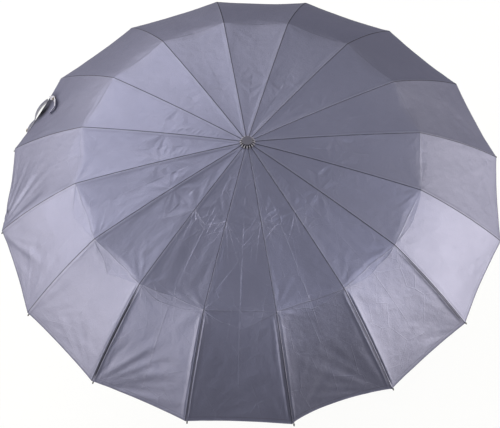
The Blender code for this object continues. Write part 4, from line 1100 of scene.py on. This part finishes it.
# The rounded rim and the groove inside it: how far in, and how far back from the face.
BUTTON_RIM = ((0, 0.0012), (0.0002, 0.0007), (0.0007, 0.0003), (0.0014, 0.0002), (0.0018, 0.0006))
button_profile = [(0, back_reach), (BUTTON_FLANGE_RADIUS, back_reach)]
button_profile += [(BUTTON_FLANGE_RADIUS, back_reach + BUTTON_FLANGE_DEPTH)]
button_profile += [(BUTTON_RADIUS, back_reach + BUTTON_FLANGE_DEPTH)]
button_profile += [(BUTTON_RADIUS - inward, face_reach - back) for inward, back in BUTTON_RIM]
for share in (0.60, 0.45, 0.30, 0.15):
    reach = face_reach - 0.0001 - BUTTON_DOME * (share / 0.6) ** 2
    button_profile.append((BUTTON_RADIUS * share, reach))
button_profile.append((0, face_reach))
button_mesh = turned(button_profile, BUTTON_SIDES, "button_moulded")
facing_front = Matrix.Rotation(math.pi / 2, 4, "X")
button_mesh.transform(Matrix.Translation((0, 0, BUTTON_HEIGHT)) @ facing_front)
button_paint = moulded("button_plastic", *BUTTON_GREY, 0.30, 0.42)
button = linked("button_moulded", button_mesh, button_paint, "button")
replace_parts(button, "push_button")


# Floor, light and camera
# A pale floor under the standing umbrella, a ring of soft lamps, and the photograph's view.

# What share of the floor is flat white, seen by the camera and seen in shiny pieces.
FLOOR_IN_VIEW, FLOOR_IN_GLOSS = 0.85, 0.6
floor_work = bmesh.new()
bmesh.ops.create_grid(floor_work, x_segments=1, y_segments=1, size=20)
floor_mesh = bpy.data.meshes.new("floor")
floor_work.to_mesh(floor_mesh)
floor_work.free()
floor = placed("floor", floor_mesh)
floor.location = (0, 0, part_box("grip_end_cap")[0].z)
paint = Finish("floor_paint")
paint.shade(Base_Color=(0.90, 0.90, 0.90, 1), Roughness=0.9)
ray = paint.add("ShaderNodeLightPath").outputs
mirrored = paint.maths("MAXIMUM", ray["Is Glossy Ray"], ray["Is Transmission Ray"])
mirrored = paint.times(mirrored, FLOOR_IN_GLOSS)
seen = paint.maths("MAXIMUM", mirrored, paint.times(ray["Is Camera Ray"], FLOOR_IN_VIEW))
glow = paint.add("ShaderNodeEmission", Color=(1, 1, 1, 1), Strength=1.0)
paper = paint.add("ShaderNodeMixShader", Fac=seen)
paint.join(paper, "i1", paint.shader.outputs[0])
paint.join(paper, "i2", glow.outputs[0])
paint.join(paint.tree.nodes["Material Output"], "Surface", paper.outputs[0])
floor_mesh.materials.append(paint.material)

LAMP_AIM = Vector((0, 0, 0.45))
LAMP_DISTANCE, LAMP_SIZE, HIGH_LAMP = 2.5, 1.3, 30
LOW_COLOUR, HIGH_COLOUR = (1.0, 0.965, 0.79), (0.90, 0.95, 1.0)
# Each lamp's heading and height in degrees, and its power.
for azimuth, height, power in (
    (337, 22, 33.0),
    (337, 54, 17.5),
    (0, 5, 21.0),
    (22, 22, 9.0),
    (45, 38, 1.5),
    (67, 38, 2.5),
    (90, 22, 6.5),
    (112, 22, 14.0),
    (112, 38, 12.0),
    (135, 22, 8.0),
    (157, 5, 8.0),
    (157, 22, 10.0),
    (157, 38, 12.5),
    (180, 22, 16.5),
    (202, 22, 17.5),
    (225, 38, 8.5),
):
    name = f"lamp_{azimuth}_{height}"
    light = bpy.data.lights.new(name, "AREA")
    light.shape = "SQUARE"
    light.size = LAMP_SIZE
    light.energy = power
    light.color = LOW_COLOUR if height < HIGH_LAMP else HIGH_COLOUR
    lamp = placed(name, light)
    across, up = math.radians(azimuth), math.radians(height)
    level = math.cos(up)
    toward = Vector((level * math.cos(across), level * math.sin(across), math.sin(up)))
    lamp.location = LAMP_AIM + toward * LAMP_DISTANCE
    lamp.rotation_euler = (-toward).to_track_quat("-Z", "Y").to_euler()

SKY_COLOUR, SKY_STRENGTH = (0.82, 0.84, 0.88, 1), 0.05
world = bpy.data.worlds.new("studio")
world.use_nodes = True
sky = world.node_tree.nodes["Background"].inputs
sky["Color"].default_value = SKY_COLOUR
sky["Strength"].default_value = SKY_STRENGTH
bpy.context.scene.world = world

CAMERA_PLACE = Vector((-0.13804, -1.54177, 2.87582))
CAMERA_HEADING, CAMERA_DIP, CAMERA_ROLL = map(math.radians, (-94.915, 58.877, -4.277))
CAMERA_LENS, CAMERA_SENSOR = 100.96, 36
level = math.cos(CAMERA_DIP)
east, north = math.cos(CAMERA_HEADING), math.sin(CAMERA_HEADING)
ahead = Vector((-level * east, -level * north, -math.sin(CAMERA_DIP)))
flat_right = ahead.cross(Vector((0, 0, 1))).normalized()
flat_up = flat_right.cross(ahead)
right = flat_right * math.cos(CAMERA_ROLL) + flat_up * math.sin(CAMERA_ROLL)
above = flat_up * math.cos(CAMERA_ROLL) - flat_right * math.sin(CAMERA_ROLL)
camera_data = bpy.data.cameras.new("camera")
camera_data.lens = CAMERA_LENS
camera_data.sensor_width = CAMERA_SENSOR
camera = placed("camera", camera_data)
turn = Matrix((right, above, -ahead)).transposed()
camera.matrix_world = Matrix.Translation(CAMERA_PLACE) @ turn.to_4x4()
bpy.context.scene.camera = camera
bpy.context.scene.view_settings.view_transform = "Standard"
